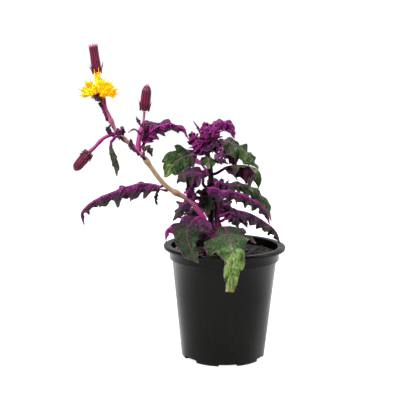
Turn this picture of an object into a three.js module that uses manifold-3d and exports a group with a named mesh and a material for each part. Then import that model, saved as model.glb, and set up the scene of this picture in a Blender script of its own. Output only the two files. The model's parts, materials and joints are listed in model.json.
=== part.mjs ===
// Potted purple passion plant (velvet plant) in a round nursery pot.
// Millimetres, +Z up. Origin: centre of the pot's flat underside. -Y is the front of the plant,
// and the flower stalk leans towards -X.
import * as THREE from 'three';
import { mergeVertices } from 'three/addons/utils/BufferGeometryUtils.js';
import Module from 'manifold-3d';

const wasm = await Module();
wasm.setup();

// ---- driving dimensions ----------------------------------------------------------------------
const POT_HEIGHT = 98;          // floor to the top of the rim
const RIM_RADIUS = 52.5;        // outer edge of the rim lip
const LIP_HEIGHT = 3;           // thickness of the rim lip
const COLLAR_RADIUS = 47.3;     // stacking collar below the lip, outside
const COLLAR_BOTTOM = 86.5;     // height of the ledge under the collar
const WALL_TOP_RADIUS = 45;     // tapered wall where it meets the ledge, outside
const WALL_FOOT_RADIUS = 36.2;  // tapered wall at the bottom corner, outside
const WALL = 1.4;               // thickness of wall and floor
const CORNER = 2.5;             // height of the bottom corner
const POT_STEPS = 60;           // facets round the pot
const NOTCH_COUNT = 6;          // drain notches cut through the bottom corner
const NOTCH_ANGLE = 27;         // width of one notch, degrees
const NOTCH_HEIGHT = 3;
const NOTCH_INNER_RADIUS = 30.5;
const NOTCH_TURN = -83;         // direction of the first notch, degrees from +X
const SOIL_TOP = 91;            // potting mix surface
const SOIL_GAP = 0.35;          // clearance between mix and pot
const BLADE = 1;                // thickness of a leaf blade
const PETIOLE = 1.1;            // half width of a leaf stalk
const STATIONS = 9;             // cross-sections along a leaf
const GRAIN_RADIUS = 1.1;       // perlite grain

// ---- finishes --------------------------------------------------------------------------------
const finish = (color, roughness) =>
  new THREE.MeshStandardMaterial({ color, roughness, metalness: 0 });
const FINISH = {
  pot: finish(0x2a2a24, 0.5),
  soil: finish(0x1d1814, 0.95),
  grain: finish(0xd9cdb2, 0.8),
  stem: finish(0x7a3a4c, 0.7),
  darkStem: finish(0x3a1a2c, 0.7),
  purple: finish(0x6d2f6a, 0.85),
  maroon: finish(0x4a1a3a, 0.85),
  green: finish(0x6f8f3a, 0.7),
  olive: finish(0x55603a, 0.75),
  bud: finish(0x4e1c30, 0.6),
  floret: finish(0xf0a51e, 0.6),
};

const plant = new THREE.Group();

/** Adds one named solid to the plant. */
function add(name, geometry, material) {
  geometry.computeVertexNormals();
  const mesh = new THREE.Mesh(geometry, material);
  mesh.name = name;
  plant.add(mesh);
  return mesh;
}

/** Turns a closed geometry into a solid that can be joined or cut. */
function solid(geometry) {
  const bare = geometry.clone();
  for (const key of ['normal', 'uv']) bare.deleteAttribute(key);
  const merged = mergeVertices(bare, 1e-4);
  return new wasm.Manifold(new wasm.Mesh({
    numProp: 3,
    vertProperties: new Float32Array(merged.attributes.position.array),
    triVerts: new Uint32Array(merged.index.array),
  }));
}

/** Turns a solid back into a geometry. */
function geometryOf(body) {
  const mesh = body.getMesh();
  const geometry = new THREE.BufferGeometry();
  geometry.setAttribute('position', new THREE.BufferAttribute(mesh.vertProperties, 3));
  geometry.setIndex(new THREE.BufferAttribute(mesh.triVerts, 1));
  return geometry;
}

/** Profile points [radius, height] turned round the Z axis. */
function turned(profile, steps) {
  const points = profile.map(([radius, height]) => new THREE.Vector2(radius, height));
  const geometry = new THREE.LatheGeometry(points, steps);
  geometry.rotateX(Math.PI / 2);
  return geometry;
}

/** Moves a shape made along +Z so that it stands on `from` and points at `to`. */
function aimed(geometry, from, to) {
  const start = new THREE.Vector3(...from);
  const way = new THREE.Vector3(...to).sub(start).normalize();
  const turn = new THREE.Quaternion().setFromUnitVectors(new THREE.Vector3(0, 0, 1), way);
  geometry.applyQuaternion(turn);
  geometry.translate(start.x, start.y, start.z);
  return geometry;
}

/** Value of a list spread evenly over 0..1, straight between its entries. */
function along(list, t) {
  const place = t * (list.length - 1);
  const index = Math.min(Math.floor(place), list.length - 2);
  const share = place - index;
  return list[index].map((value, axis) => value + (list[index + 1][axis] - value) * share);
}

/**
 * Closed solid swept along a smooth curve. `section(t)` gives the upper and lower edge of the
 * cross-section as [side, up] pairs; `faces` are the directions the upper side looks in.
 */
function swept(route, faces, section, stations) {
  const curve = new THREE.CatmullRomCurve3(route.map((p) => new THREE.Vector3(...p)), false,
    'centripetal');
  const positions = [];
  let count = 0;
  for (let k = 0; k <= stations; k += 1) {
    const t = k / stations;
    const centre = curve.getPointAt(t);
    const tangent = curve.getTangentAt(t);
    const side = new THREE.Vector3(...along(faces, t)).cross(tangent).normalize();
    const up = new THREE.Vector3().crossVectors(tangent, side);
    const { upper, lower } = section(t);
    const ring = [...upper, ...[...lower].reverse()];
    count = ring.length;
    for (const [s, n] of ring) {
      const point = centre.clone().addScaledVector(side, s).addScaledVector(up, n);
      positions.push(point.x, point.y, point.z);
    }
  }
  const index = [];
  for (let k = 0; k < stations; k += 1) {
    for (let i = 0; i < count; i += 1) {
      const a = k * count + i;
      const b = k * count + ((i + 1) % count);
      index.push(a, a + count, b + count, a, b + count, b);
    }
  }
  const end = stations * count;
  for (let i = 0; i + 1 < count / 2; i += 1) {
    const j = count - 1 - i;
    index.push(i, i + 1, j - 1, i, j - 1, j);
    index.push(end + i, end + j - 1, end + i + 1, end + i, end + j, end + j - 1);
  }
  const geometry = new THREE.BufferGeometry();
  geometry.setAttribute('position', new THREE.Float32BufferAttribute(positions, 3));
  geometry.setIndex(index);
  return geometry;
}

/** Round stem along a route; its radius runs from `thick` to `thin`. */
function stem(route, thick, thin, stations = 12, sides = 8) {
  const half = sides / 2;
  const section = (t) => {
    const radius = thick + (thin - thick) * t;
    const upper = [];
    const lower = [];
    for (let i = 0; i < half; i += 1) {
      const angle = ((i + 0.5) / sides) * 2 * Math.PI;
      upper.push([-radius * Math.cos(angle), radius * Math.sin(angle)]);
      lower.push([-radius * Math.cos(angle), -radius * Math.sin(angle)]);
    }
    return { upper, lower };
  };
  return swept(route, [[0.2, -1, 0.1], [0.2, -1, 0.1]], section, stations);
}

/**
 * Leaf with its stalk: a thin folded blade along its midrib.
 * @param {object} leaf route, faces, width (half width), fold (degrees each half drops),
 *   stalk (share of the length without blade), widest (place of the widest part on the blade)
 */
function leafGeometry({ route, faces, width, fold = 25, stalk = 0.15, widest = 0.4 }) {
  const drop = THREE.MathUtils.degToRad(fold);
  const front = 0.9 * widest / (1 - widest);
  const peak = widest ** front * (1 - widest) ** 0.9;
  const section = (t) => {
    const u = Math.max(0, (t - stalk) / (1 - stalk));
    const shape = (u ** front * (1 - u) ** 0.9) / peak;
    const half = Math.max(width * shape, t < stalk ? PETIOLE : 0.7);
    const spread = THREE.MathUtils.clamp((half - PETIOLE) / 3, 0, 1);
    const thick = THREE.MathUtils.lerp(t < 0.5 ? 1.9 : BLADE, BLADE, spread);
    const upper = [];
    const lower = [];
    for (const f of [-1, -0.55, 0, 0.55, 1]) {
      const across = f * half * Math.cos(drop * spread);
      const height = -Math.abs(f) * half * Math.sin(drop * spread);
      const rim = thick * (1 - 0.35 * Math.abs(f));
      upper.push([across, height + rim / 2]);
      lower.push([across, height - rim / 2]);
    }
    return { upper, lower };
  };
  return swept(route, faces, section, STATIONS);
}

// ---- pot -------------------------------------------------------------------------------------
const taper = (WALL_TOP_RADIUS - WALL_FOOT_RADIUS) / (COLLAR_BOTTOM - 1 - CORNER);
const wallRadius = (height) => WALL_FOOT_RADIUS + taper * (height - CORNER);
const potProfile = [
  [0, 0], [WALL_FOOT_RADIUS - 1.7, 0], [WALL_FOOT_RADIUS - 0.5, 0.7], [WALL_FOOT_RADIUS, CORNER],
  [WALL_TOP_RADIUS, COLLAR_BOTTOM - 1], [COLLAR_RADIUS - 0.2, COLLAR_BOTTOM],
  [COLLAR_RADIUS, POT_HEIGHT - LIP_HEIGHT], [RIM_RADIUS, POT_HEIGHT - LIP_HEIGHT],
  [RIM_RADIUS, POT_HEIGHT - 0.6], [RIM_RADIUS - 0.6, POT_HEIGHT],
  [COLLAR_RADIUS - WALL, POT_HEIGHT], [COLLAR_RADIUS - WALL, COLLAR_BOTTOM],
  [WALL_TOP_RADIUS - WALL, COLLAR_BOTTOM - 1.6], [wallRadius(CORNER) - WALL, CORNER + 0.5],
  [WALL_FOOT_RADIUS - WALL - 1.2, WALL], [0, WALL],
];
let pot = solid(turned(potProfile, POT_STEPS));
for (let n = 0; n < NOTCH_COUNT; n += 1) {
  const middle = THREE.MathUtils.degToRad(NOTCH_TURN + (n * 360) / NOTCH_COUNT);
  const half = THREE.MathUtils.degToRad(NOTCH_ANGLE / 2);
  const outline = new THREE.Shape();
  outline.absarc(0, 0, NOTCH_INNER_RADIUS, middle - half, middle + half, false);
  outline.absarc(0, 0, RIM_RADIUS, middle + half, middle - half, true);
  const cutter = new THREE.ExtrudeGeometry(outline, {
    depth: NOTCH_HEIGHT + 2, bevelEnabled: false, curveSegments: 6,
  });
  cutter.translate(0, 0, -2);
  pot = pot.subtract(solid(cutter));
}
add('pot', geometryOf(pot), FINISH.pot);

const soilWall = (height) => wallRadius(height) - WALL - SOIL_GAP;
add('potting_mix', turned([
  [0, WALL + SOIL_GAP], [WALL_FOOT_RADIUS - WALL - 2, WALL + SOIL_GAP], [soilWall(4), 4],
  [WALL_TOP_RADIUS - WALL - 0.7, COLLAR_BOTTOM - 1.6],
  [COLLAR_RADIUS - WALL - 0.6, COLLAR_BOTTOM + 1.7],
  [COLLAR_RADIUS - WALL - 0.6, SOIL_TOP - 1], [34, SOIL_TOP], [0, SOIL_TOP],
], POT_STEPS), FINISH.soil);

const GRAINS = [[-20, -17], [-20.5, -9], [-11, -17], [-15, -24], [-27, -5], [-42, 10]];
GRAINS.forEach(([x, y], n) => {
  const grain = new THREE.IcosahedronGeometry(GRAIN_RADIUS, 1);
  grain.scale(1.15, 0.95, 0.85);
  grain.translate(x, y, SOIL_TOP + GRAIN_RADIUS * 0.85 + 0.3);
  add(`perlite_grain_${n + 1}`, geometryOf(solid(grain)), FINISH.grain);
});

// ---- stems -----------------------------------------------------------------------------------
const STEM_FOOT = SOIL_TOP + 0.8;
add('main_stem', stem([
  [-11, 8, STEM_FOOT], [-12, 8, 122], [-12, 7, 144], [-13, 6, 160], [-16, 4, 177], [-18, 3, 187],
], 2.7, 2.1), FINISH.darkStem);

const stalk = solid(stem([
  [-15, -12, STEM_FOOT], [-17, -12, 108], [-18, -12, 122], [-23, -13, 130], [-30, -14, 138],
  [-50, -16, 150.5], [-73, -18, 180], [-90, -20, 194.5], [-98, -21, 210], [-104, -22, 219.5],
], 2.5, 1.9, 30));
const toLeftBud = solid(stem(
  [[-90.5, -20, 194.8], [-101, -22, 190.5], [-109, -24, 182.5], [-112, -25, 179.8]], 1.5, 1.4, 6));
const toRightBud = solid(stem(
  [[-72.5, -18, 180], [-73, -17, 187], [-69, -14, 205], [-68.5, -13, 211.6]], 1.8, 1, 8));
const toTopBud = solid(stem(
  [[-99, -21, 211.5], [-101, -14, 217], [-103, -8, 228], [-108, -5, 241.6]], 1.5, 1.3, 8));
add('flowering_stem', geometryOf(stalk.add(toLeftBud).add(toRightBud).add(toTopBud)),
  FINISH.stem);

add('second_stem', stem([
  [-3, 0, STEM_FOOT], [-5, -1, 107], [-7, -2, 123], [-8, -3, 135], [-12, -4, 143], [-16, -5, 149.5],
], 2.4, 1.8), FINISH.darkStem);

// ---- flower heads ----------------------------------------------------------------------------
add('flower_cup', aimed(turned([
  [0, 0], [2.2, 0], [4.6, 2.2], [5.4, 5], [5, 7.6], [0, 7.6],
], 16), [-104.4, -22.1, 220.8], [-105.5, -23, 232]), FINISH.bud);

add('flower_florets', aimed(turned([
  [0, 0], [4.6, 0], [9, 1.5], [12.6, 4.5], [12.4, 7.5], [8.5, 11.5], [4.4, 15.5], [3.4, 20],
  [0, 20.5],
], 16), [-105.3, -22.8, 229.2], [-106.5, -23.5, 248]), FINISH.floret);

/** Closed cylindrical bud with a swollen base and a blunt or pointed tip. */
const budGeometry = (radius, length, tip) => turned([
  [0, 0], [radius * 0.45, 0], [radius * 0.95, length * 0.1], [radius, length * 0.3],
  [radius * 0.96, length * 0.75], [radius * tip, length * 0.95], [radius * tip * 0.5, length],
  [0, length],
], 14);
add('top_bud', aimed(budGeometry(3.9, 24.8, 0.95), [-108.2, -4.9, 242.2], [-112, -3, 267]),
  FINISH.bud);
add('left_bud', aimed(budGeometry(4.2, 20.5, 0.6), [-112.5, -25.1, 179.3], [-125, -27, 164]),
  FINISH.bud);
add('right_bud', aimed(budGeometry(4.5, 23, 0.5), [-68.4, -13, 212.3], [-66, -12, 235]),
  FINISH.bud);

// ---- leaves ----------------------------------------------------------------------------------
// route: midrib from the stem to the tip; faces: where the upper side looks, base to tip.
const LEAVES = {
  leaf_upper_left: {
    route: [[-70.5, -14, 184], [-68, -12, 190], [-63, -10, 196], [-56, -7, 200], [-46, -3, 201],
      [-37, 0, 198], [-31, 1, 188]],
    faces: [[-0.6, -0.5, 0.6], [-0.1, -0.6, 0.8], [0.7, -0.6, 0.4]],
    width: 9, fold: 35, stalk: 0.1, widest: 0.3, finish: FINISH.purple,
  },
  leaf_long_left: {
    route: [[-55.5, -14.5, 150.5], [-64, -17, 153], [-80, -19, 151], [-96, -20, 145], [-112, -20, 137],
      [-121, -20, 127], [-119, -19, 117]],
    faces: [[0, -0.25, 1], [-0.3, -0.3, 0.9], [-1, -0.2, 0.3]],
    width: 9, fold: 45, finish: FINISH.purple,
  },
  leaf_narrow_left: {
    route: [[-50.5, -11.5, 147], [-57, -6, 146], [-60, -4, 139], [-58, -4, 131]],
    faces: [[-0.5, -0.4, 0.8], [-0.6, -0.8, 0.2]],
    width: 4, fold: 30, finish: FINISH.olive,
  },
  leaf_green_left: {
    route: [[-20.5, 0, 177], [-28, -5, 177], [-37, -8, 174], [-45, -10, 168], [-51, -11, 157]],
    faces: [[0, -0.7, 0.7], [-0.3, -0.9, 0.3], [-0.6, -0.8, 0]],
    width: 9, fold: 20, finish: FINISH.green,
  },
  leaf_small_front: {
    route: [[-15.5, 0.5, 172.5], [-16, -7, 175], [-15, -12, 171], [-14, -14, 165]],
    faces: [[0, -0.5, 0.8], [0, -0.9, 0.4], [0, -1, -0.2]],
    width: 5, fold: 20, finish: FINISH.green,
  },
  leaf_crown_spike: {
    route: [[-20.5, 3, 191], [-23, 3, 198], [-28, 3, 204]],
    faces: [[0.5, -0.8, 0.5], [0.5, -0.8, 0.5]],
    width: 3, fold: 45, finish: FINISH.maroon,
  },
  leaf_crown_left: {
    route: [[-19.5, -1, 180.5], [-23, -6, 186], [-27, -8, 191], [-29, -8, 196]],
    faces: [[0.4, -0.8, 0.4], [0.4, -0.9, 0.3]],
    width: 6, fold: 20, finish: FINISH.purple,
  },
  leaf_crown_right: {
    route: [[-14.5, 0, 185], [-12, -3, 191], [-11, -4, 198], [-11, -3, 203]],
    faces: [[-0.2, -0.9, 0.2], [0, -1, 0.1]],
    width: 5.5, fold: 20, finish: FINISH.purple,
  },
  leaf_crown_top: {
    route: [[-18, 4, 189], [-17, 5, 197], [-19, 5, 203]],
    faces: [[0.1, -1, 0.1], [-0.1, -1, 0.1]],
    width: 3.5, fold: 25, finish: FINISH.maroon,
  },
  leaf_small_right: {
    route: [[-11, 0.5, 168], [-8, -4, 172], [-3, -7, 173], [2, -8, 169]],
    faces: [[0, -0.5, 0.9], [0.4, -0.5, 0.8]],
    width: 5, fold: 40, finish: FINISH.maroon,
  },
  leaf_crown_rolled: {
    route: [[-15, -1, 178.5], [-15, -7, 184], [-12, -10, 186], [-7, -10, 184]],
    faces: [[0, -0.5, 0.8], [0.3, -0.7, 0.6]],
    width: 4, fold: 45, finish: FINISH.purple,
  },
  leaf_top_right: {
    route: [[-15.5, 6, 188.5], [-14, 9, 197], [-9, 11, 202], [-2, 13, 203], [5, 14, 200], [8, 13, 188]],
    faces: [[-0.4, -0.7, 0.4], [0, -0.6, 0.8], [0.8, -0.5, 0.3]],
    width: 8, fold: 30, finish: FINISH.purple,
  },
  leaf_green_right: {
    route: [[-12.5, 3, 180], [-8, 0, 186], [-1, -3, 188], [8, -6, 184], [18, -8, 177],
      [28, -5, 165]],
    faces: [[0, -0.5, 0.85], [0.2, -0.7, 0.7], [0.8, -0.5, 0.3]],
    width: 9, fold: 20, finish: FINISH.green,
  },
  leaf_curled_right: {
    route: [[-9.3, 4, 160], [1, 0, 166], [10, -6, 168], [19, -12, 168], [27, -15, 165],
      [30, -15, 157], [28, -13, 149]],
    faces: [[0, -0.3, 1], [0.2, -0.4, 0.9], [1, -0.3, 0.2]],
    width: 10, fold: 45, finish: FINISH.green,
  },
  leaf_behind_right: {
    route: [[-8.5, 10, 145], [4, 18, 149], [18, 21, 146], [29, 20, 140], [38, 18, 131],
      [41, 14, 117]],
    faces: [[0, -0.3, 1], [0.4, -0.6, 0.7], [0.8, -0.5, 0.2]],
    width: 8, fold: 20, finish: FINISH.green,
  },
  leaf_long_right: {
    route: [[-17.5, -8.5, 141.5], [-20, -13, 147], [-13, -17, 150], [-3, -19, 148],
      [8, -19, 147], [19, -19, 143], [30, -18, 136], [36, -16, 128], [38, -15, 119]],
    faces: [[-0.2, -0.6, 0.7], [0, -0.4, 0.9], [0.3, -0.4, 0.8], [1, -0.3, 0.1]],
    width: 8, fold: 40, stalk: 0.05, finish: FINISH.purple,
  },
  leaf_lower_right: {
    route: [[-3, -5, 125], [6, -10, 130], [20, -11, 128], [34, -8, 120], [44, -5, 111],
      [48, -3, 101]],
    faces: [[0, -0.4, 1], [0.4, -0.3, 0.9], [1, -0.2, 0.2]],
    width: 7, fold: 45, finish: FINISH.maroon,
  },
  leaf_centre: {
    route: [[-18, -8.5, 152], [-19, -14, 160], [-25, -19, 163], [-32, -22, 163], [-38, -24, 161],
      [-41, -24, 154]],
    faces: [[0.2, -0.8, 0.6], [0, -0.8, 0.6], [-0.9, -0.5, 0.2]],
    width: 9, fold: 20, finish: FINISH.purple,
  },
  leaf_centre_ruffled: {
    route: [[-20, -12.5, 138.5], [-26, -16, 143], [-31, -19, 148], [-35, -20, 145]],
    faces: [[0.3, -0.7, 0.6], [-0.5, -0.8, 0.3]],
    width: 5, fold: 20, finish: FINISH.purple,
  },
  leaf_dark_band: {
    route: [[-13, -2.5, 151], [-6, -3, 153], [3, -2, 150], [12, 0, 150]],
    faces: [[0, -0.6, 0.8], [0.2, -0.7, 0.7]],
    width: 5, fold: 30, finish: FINISH.maroon,
  },
  leaf_front_left: {
    route: [[-19, -16.8, 123.5], [-21.5, -22, 126], [-27, -30, 124], [-31, -38, 119],
      [-31, -46, 111], [-27, -52, 102], [-22, -56, 94]],
    faces: [[0.1, -0.2, 1], [-0.2, -0.6, 0.8], [-0.2, -0.9, 0.2]],
    width: 19, fold: 12, stalk: 0.12, widest: 0.38, finish: FINISH.green,
  },
  leaf_front_right: {
    route: [[-3.5, -6, 114], [-1, -16, 117], [1, -32, 115], [4, -48, 109], [6, -59, 100],
      [5, -61, 89], [4, -60, 71]],
    faces: [[0, -0.2, 1], [0, -0.5, 0.85], [0, -1, 0.2]],
    width: 21, fold: 8, stalk: 0.1, widest: 0.38, finish: FINISH.green,
  },
  leaf_rim_left: {
    route: [[-20, -13, 112], [-31, -15, 117], [-42, -18, 118], [-50, -20, 113], [-50, -22, 104]],
    faces: [[0, -0.5, 0.8], [-0.3, -0.6, 0.7], [-1, -0.4, 0]],
    width: 6, fold: 30, finish: FINISH.purple,
  },
  leaf_dark_left: {
    route: [[-25, -8.5, 132.5], [-32, -6, 137], [-39, -5, 132], [-45, -4, 119]],
    faces: [[-0.3, -0.5, 0.8], [-0.8, -0.5, 0.2]],
    width: 7, fold: 30, finish: FINISH.maroon,
  },
  leaf_dark_middle: {
    route: [[-4, 1.5, 124], [-2, 5, 131], [3, 8, 132], [6, 10, 121]],
    faces: [[-0.3, -0.8, 0.6], [0.7, -0.6, 0.3]],
    width: 5, fold: 25, finish: FINISH.maroon,
  },
  bract_hanging: {
    route: [[-92.5, -23.5, 192], [-95, -26, 188], [-94, -27, 179], [-91, -26, 169], [-90, -25, 159]],
    faces: [[-0.3, -0.6, 0.7], [0, -1, 0.1], [0, -1, 0]],
    width: 3.6, fold: 15, finish: FINISH.olive,
  },
  bract_upper: {
    route: [[-87.5, -17.2, 196], [-86, -15, 199], [-85, -14, 195], [-89, -14, 188]],
    faces: [[0.5, -0.6, 0.7], [0.6, -0.7, -0.1]],
    width: 2.6, fold: 25, finish: FINISH.olive,
  },
  bract_lower: {
    route: [[-69, -22, 178], [-66.5, -23, 183], [-62, -22, 182], [-61, -21, 175]],
    faces: [[0.2, -0.7, 0.7], [0.8, -0.6, 0.1]],
    width: 4, fold: 25, finish: FINISH.olive,
  },
  leaf_back_middle: {
    route: [[-12.5, 12, 143], [-11, 30, 152], [-8, 54, 144], [-6, 68, 126], [-6, 73, 107]],
    faces: [[0, 0.2, 1], [0, 0.6, 0.8], [0, 1, 0.2]],
    width: 10, fold: 25, finish: FINISH.green,
  },
  leaf_back_left: {
    route: [[-14, 12, 121], [-21, 28, 128], [-29, 45, 120], [-33, 56, 103]],
    faces: [[-0.1, 0.1, 1], [-0.2, 0.5, 0.8], [-0.4, 0.9, 0.2]],
    width: 12, fold: 20, finish: FINISH.green,
  },
  leaf_back_right: {
    route: [[-9, 12, 117], [3, 27, 126], [14, 42, 120], [22, 53, 104]],
    faces: [[0.1, 0.1, 1], [0.3, 0.5, 0.8], [0.5, 0.9, 0.2]],
    width: 11, fold: 20, finish: FINISH.green,
  },
  leaf_back_upper_right: {
    route: [[-11.5, 10, 167], [-3, 28, 177], [6, 43, 172], [10, 52, 157]],
    faces: [[0.1, 0.1, 1], [0.2, 0.5, 0.8], [0.4, 0.9, 0.2]],
    width: 9, fold: 25, finish: FINISH.purple,
  },
  leaf_back_upper_left: {
    route: [[-15, 10.5, 161], [-26, 27, 170], [-37, 41, 163], [-42, 48, 147]],
    faces: [[-0.1, 0.1, 1], [-0.3, 0.5, 0.8], [-0.5, 0.9, 0.2]],
    width: 9, fold: 25, finish: FINISH.purple,
  },
};

for (const [name, leaf] of Object.entries(LEAVES)) {
  add(name, leafGeometry(leaf), leaf.finish);
}

export default plant;
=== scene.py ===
"""Potted purple passion plant: the visible model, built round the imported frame.

Metres, +Z up. The origin is the centre of the pot's flat underside and -Y is the front of the
plant. Design values are millimetres, as on a drawing, and one helper turns them into metres.
"""

import json
import logging
import math
import random
from collections.abc import Sequence
from dataclasses import dataclass
from enum import Enum
from functools import cached_property

import bmesh
import bpy
from mathutils import Matrix, Vector, geometry, noise

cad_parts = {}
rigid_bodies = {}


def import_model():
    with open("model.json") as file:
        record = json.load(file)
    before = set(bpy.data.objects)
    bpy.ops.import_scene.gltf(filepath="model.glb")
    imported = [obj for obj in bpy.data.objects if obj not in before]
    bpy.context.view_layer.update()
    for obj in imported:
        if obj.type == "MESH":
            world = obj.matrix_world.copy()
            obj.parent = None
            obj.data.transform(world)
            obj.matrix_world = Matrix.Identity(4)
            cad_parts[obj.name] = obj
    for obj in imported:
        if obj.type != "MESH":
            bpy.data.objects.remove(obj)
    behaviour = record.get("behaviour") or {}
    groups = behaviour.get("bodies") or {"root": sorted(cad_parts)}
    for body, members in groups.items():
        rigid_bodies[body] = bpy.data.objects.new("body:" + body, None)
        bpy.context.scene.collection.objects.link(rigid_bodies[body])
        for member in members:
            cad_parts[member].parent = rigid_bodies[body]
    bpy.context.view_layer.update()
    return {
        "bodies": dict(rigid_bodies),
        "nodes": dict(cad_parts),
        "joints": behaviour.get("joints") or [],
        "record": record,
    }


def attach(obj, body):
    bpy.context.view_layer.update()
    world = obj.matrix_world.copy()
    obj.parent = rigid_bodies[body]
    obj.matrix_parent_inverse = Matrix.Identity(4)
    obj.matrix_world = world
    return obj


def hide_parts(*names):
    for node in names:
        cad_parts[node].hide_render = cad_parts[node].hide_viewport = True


LOG = logging.getLogger("plant")
MM = 0.001
FULL_TURN = 2 * math.pi
Point = tuple[float, float, float]


# ---- small helpers ---------------------------------------------------------------------------
def linear(hex_colour: str) -> tuple[float, float, float, float]:
    """Turns an sRGB hex colour such as "#6a114f" into linear RGBA."""
    channels = [int(hex_colour[i:i + 2], 16) / 255 for i in (1, 3, 5)]
    return (*[c / 12.92 if c <= 0.04045 else ((c + 0.055) / 1.055) ** 2.4 for c in channels], 1.0)


class Signal:
    """Value that runs through a node tree; arithmetic on it adds Math nodes."""

    def __init__(self, shade: "Shade", socket: bpy.types.NodeSocket) -> None:
        """Keeps the tree's builder and the socket that gives the value."""
        self.shade, self.socket = shade, socket

    def __add__(self, other: object) -> "Signal":
        """Sum."""
        return self.shade.add("Math", self, other, operation="ADD")

    def __sub__(self, other: object) -> "Signal":
        """Difference."""
        return self.shade.add("Math", self, other, operation="SUBTRACT")

    def __mul__(self, other: object) -> "Signal":
        """Product."""
        return self.shade.add("Math", self, other, operation="MULTIPLY")

    def __abs__(self) -> "Signal":
        """Size without sign."""
        return self.shade.add("Math", self, operation="ABSOLUTE")


class Shade:
    """Node tree of one material or of the world, with one method that adds a node."""

    def __init__(self, tree: bpy.types.NodeTree) -> None:
        """Keeps the tree."""
        self.tree = tree

    def feed(self, socket: bpy.types.NodeSocket, value: object) -> None:
        """Gives an input its value.

        Args:
            socket: The input.
            value: Signal to link, sRGB hex colour, number or vector; None leaves the input alone.
        """
        if isinstance(value, Signal):
            self.tree.links.new(value.socket, socket)
        elif value is not None:
            socket.default_value = linear(value) if isinstance(value, str) else value

    def add(self, kind: str, *values: object, out: str = "", **settings: object) -> Signal:
        """Adds a node.

        Args:
            kind: Node type without its prefix, such as "Math".
            values: Values of the inputs in use, in their order.
            out: Name of the output that is wanted, the first one if empty.
            settings: Attributes set on the node itself.

        Returns:
            The wanted output.
        """
        made = self.tree.nodes.new("ShaderNode" + kind)
        for key, value in settings.items():
            setattr(made, key, value)
        for socket, value in zip([s for s in made.inputs if s.enabled], values):
            self.feed(socket, value)
        outputs = [s for s in made.outputs if s.enabled and s.name == (out or s.name)]
        return Signal(self, outputs[0])

    def patches(self, size_mm: float, detail: float = 3.0, stretch: Point = (1, 1, 1)) -> Signal:
        """Adds noise on Object coordinates.

        Args:
            size_mm: Width of its blotches, millimetres.
            detail: Octaves of finer noise.
            stretch: Scale along X, Y and Z; under 1 draws the blotches out.

        Returns:
            The noise, about 0..1.
        """
        place = self.add("Mapping", self.add("TexCoord", out="Object"), None, None, stretch)
        return self.add("TexNoise", place, 1 / (size_mm * MM), detail)


EASED = {"interpolation_type": "SMOOTHSTEP"}  # MapRange: smooth step between its ends
COLOURS = {"data_type": "RGBA"}  # Mix: first colour to second colour


class Finish:
    """Base of the finishes: turns a pattern into a material with relief."""

    RELIEF = (0.1, 0.5)  # depth in millimetres, strength

    def pattern(self, shade: Shade) -> tuple[dict[str, object], Signal]:
        """Draws the finish; each finish has its own.

        Args:
            shade: Builder of the material's node tree.

        Returns:
            Shader sockets with their values, and the height of the relief.
        """
        raise NotImplementedError

    def material(self) -> bpy.types.Material:
        """Builds the material."""
        material = bpy.data.materials.new(self.name)
        material.use_nodes = True
        shade = Shade(material.node_tree)
        sockets, height = self.pattern(shade)
        depth, strength = self.RELIEF
        sockets["Normal"] = shade.add("Bump", strength, depth * MM, None, height)
        shader = material.node_tree.nodes["Principled BSDF"]
        for name, value in sockets.items():
            shade.feed(shader.inputs[name], value)
        return material


def lerp(first: float, second: float, share: float) -> float:
    """Value between first and second."""
    return first + (second - first) * share


def clamp(value: float, low: float = 0.0, high: float = 1.0) -> float:
    """Value held between low and high."""
    return max(low, min(high, value))


def profile_at(values: tuple[float, ...], share: float) -> float:
    """Smooth value of an evenly spaced list.

    Args:
        values: The list.
        share: Place along it, 0..1.

    Returns:
        The value there.
    """
    if len(values) == 1:
        return values[0]
    place = clamp(share) * (len(values) - 1)
    index = min(int(place), len(values) - 2)
    local = place - index
    before = values[max(index - 1, 0)]
    first, second = values[index], values[index + 1]
    after = values[min(index + 2, len(values) - 1)]
    return 0.5 * (2 * first + (second - before) * local
                  + (2 * before - 5 * first + 4 * second - after) * local ** 2
                  + (3 * first - before - 3 * second + after) * local ** 3)


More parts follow.
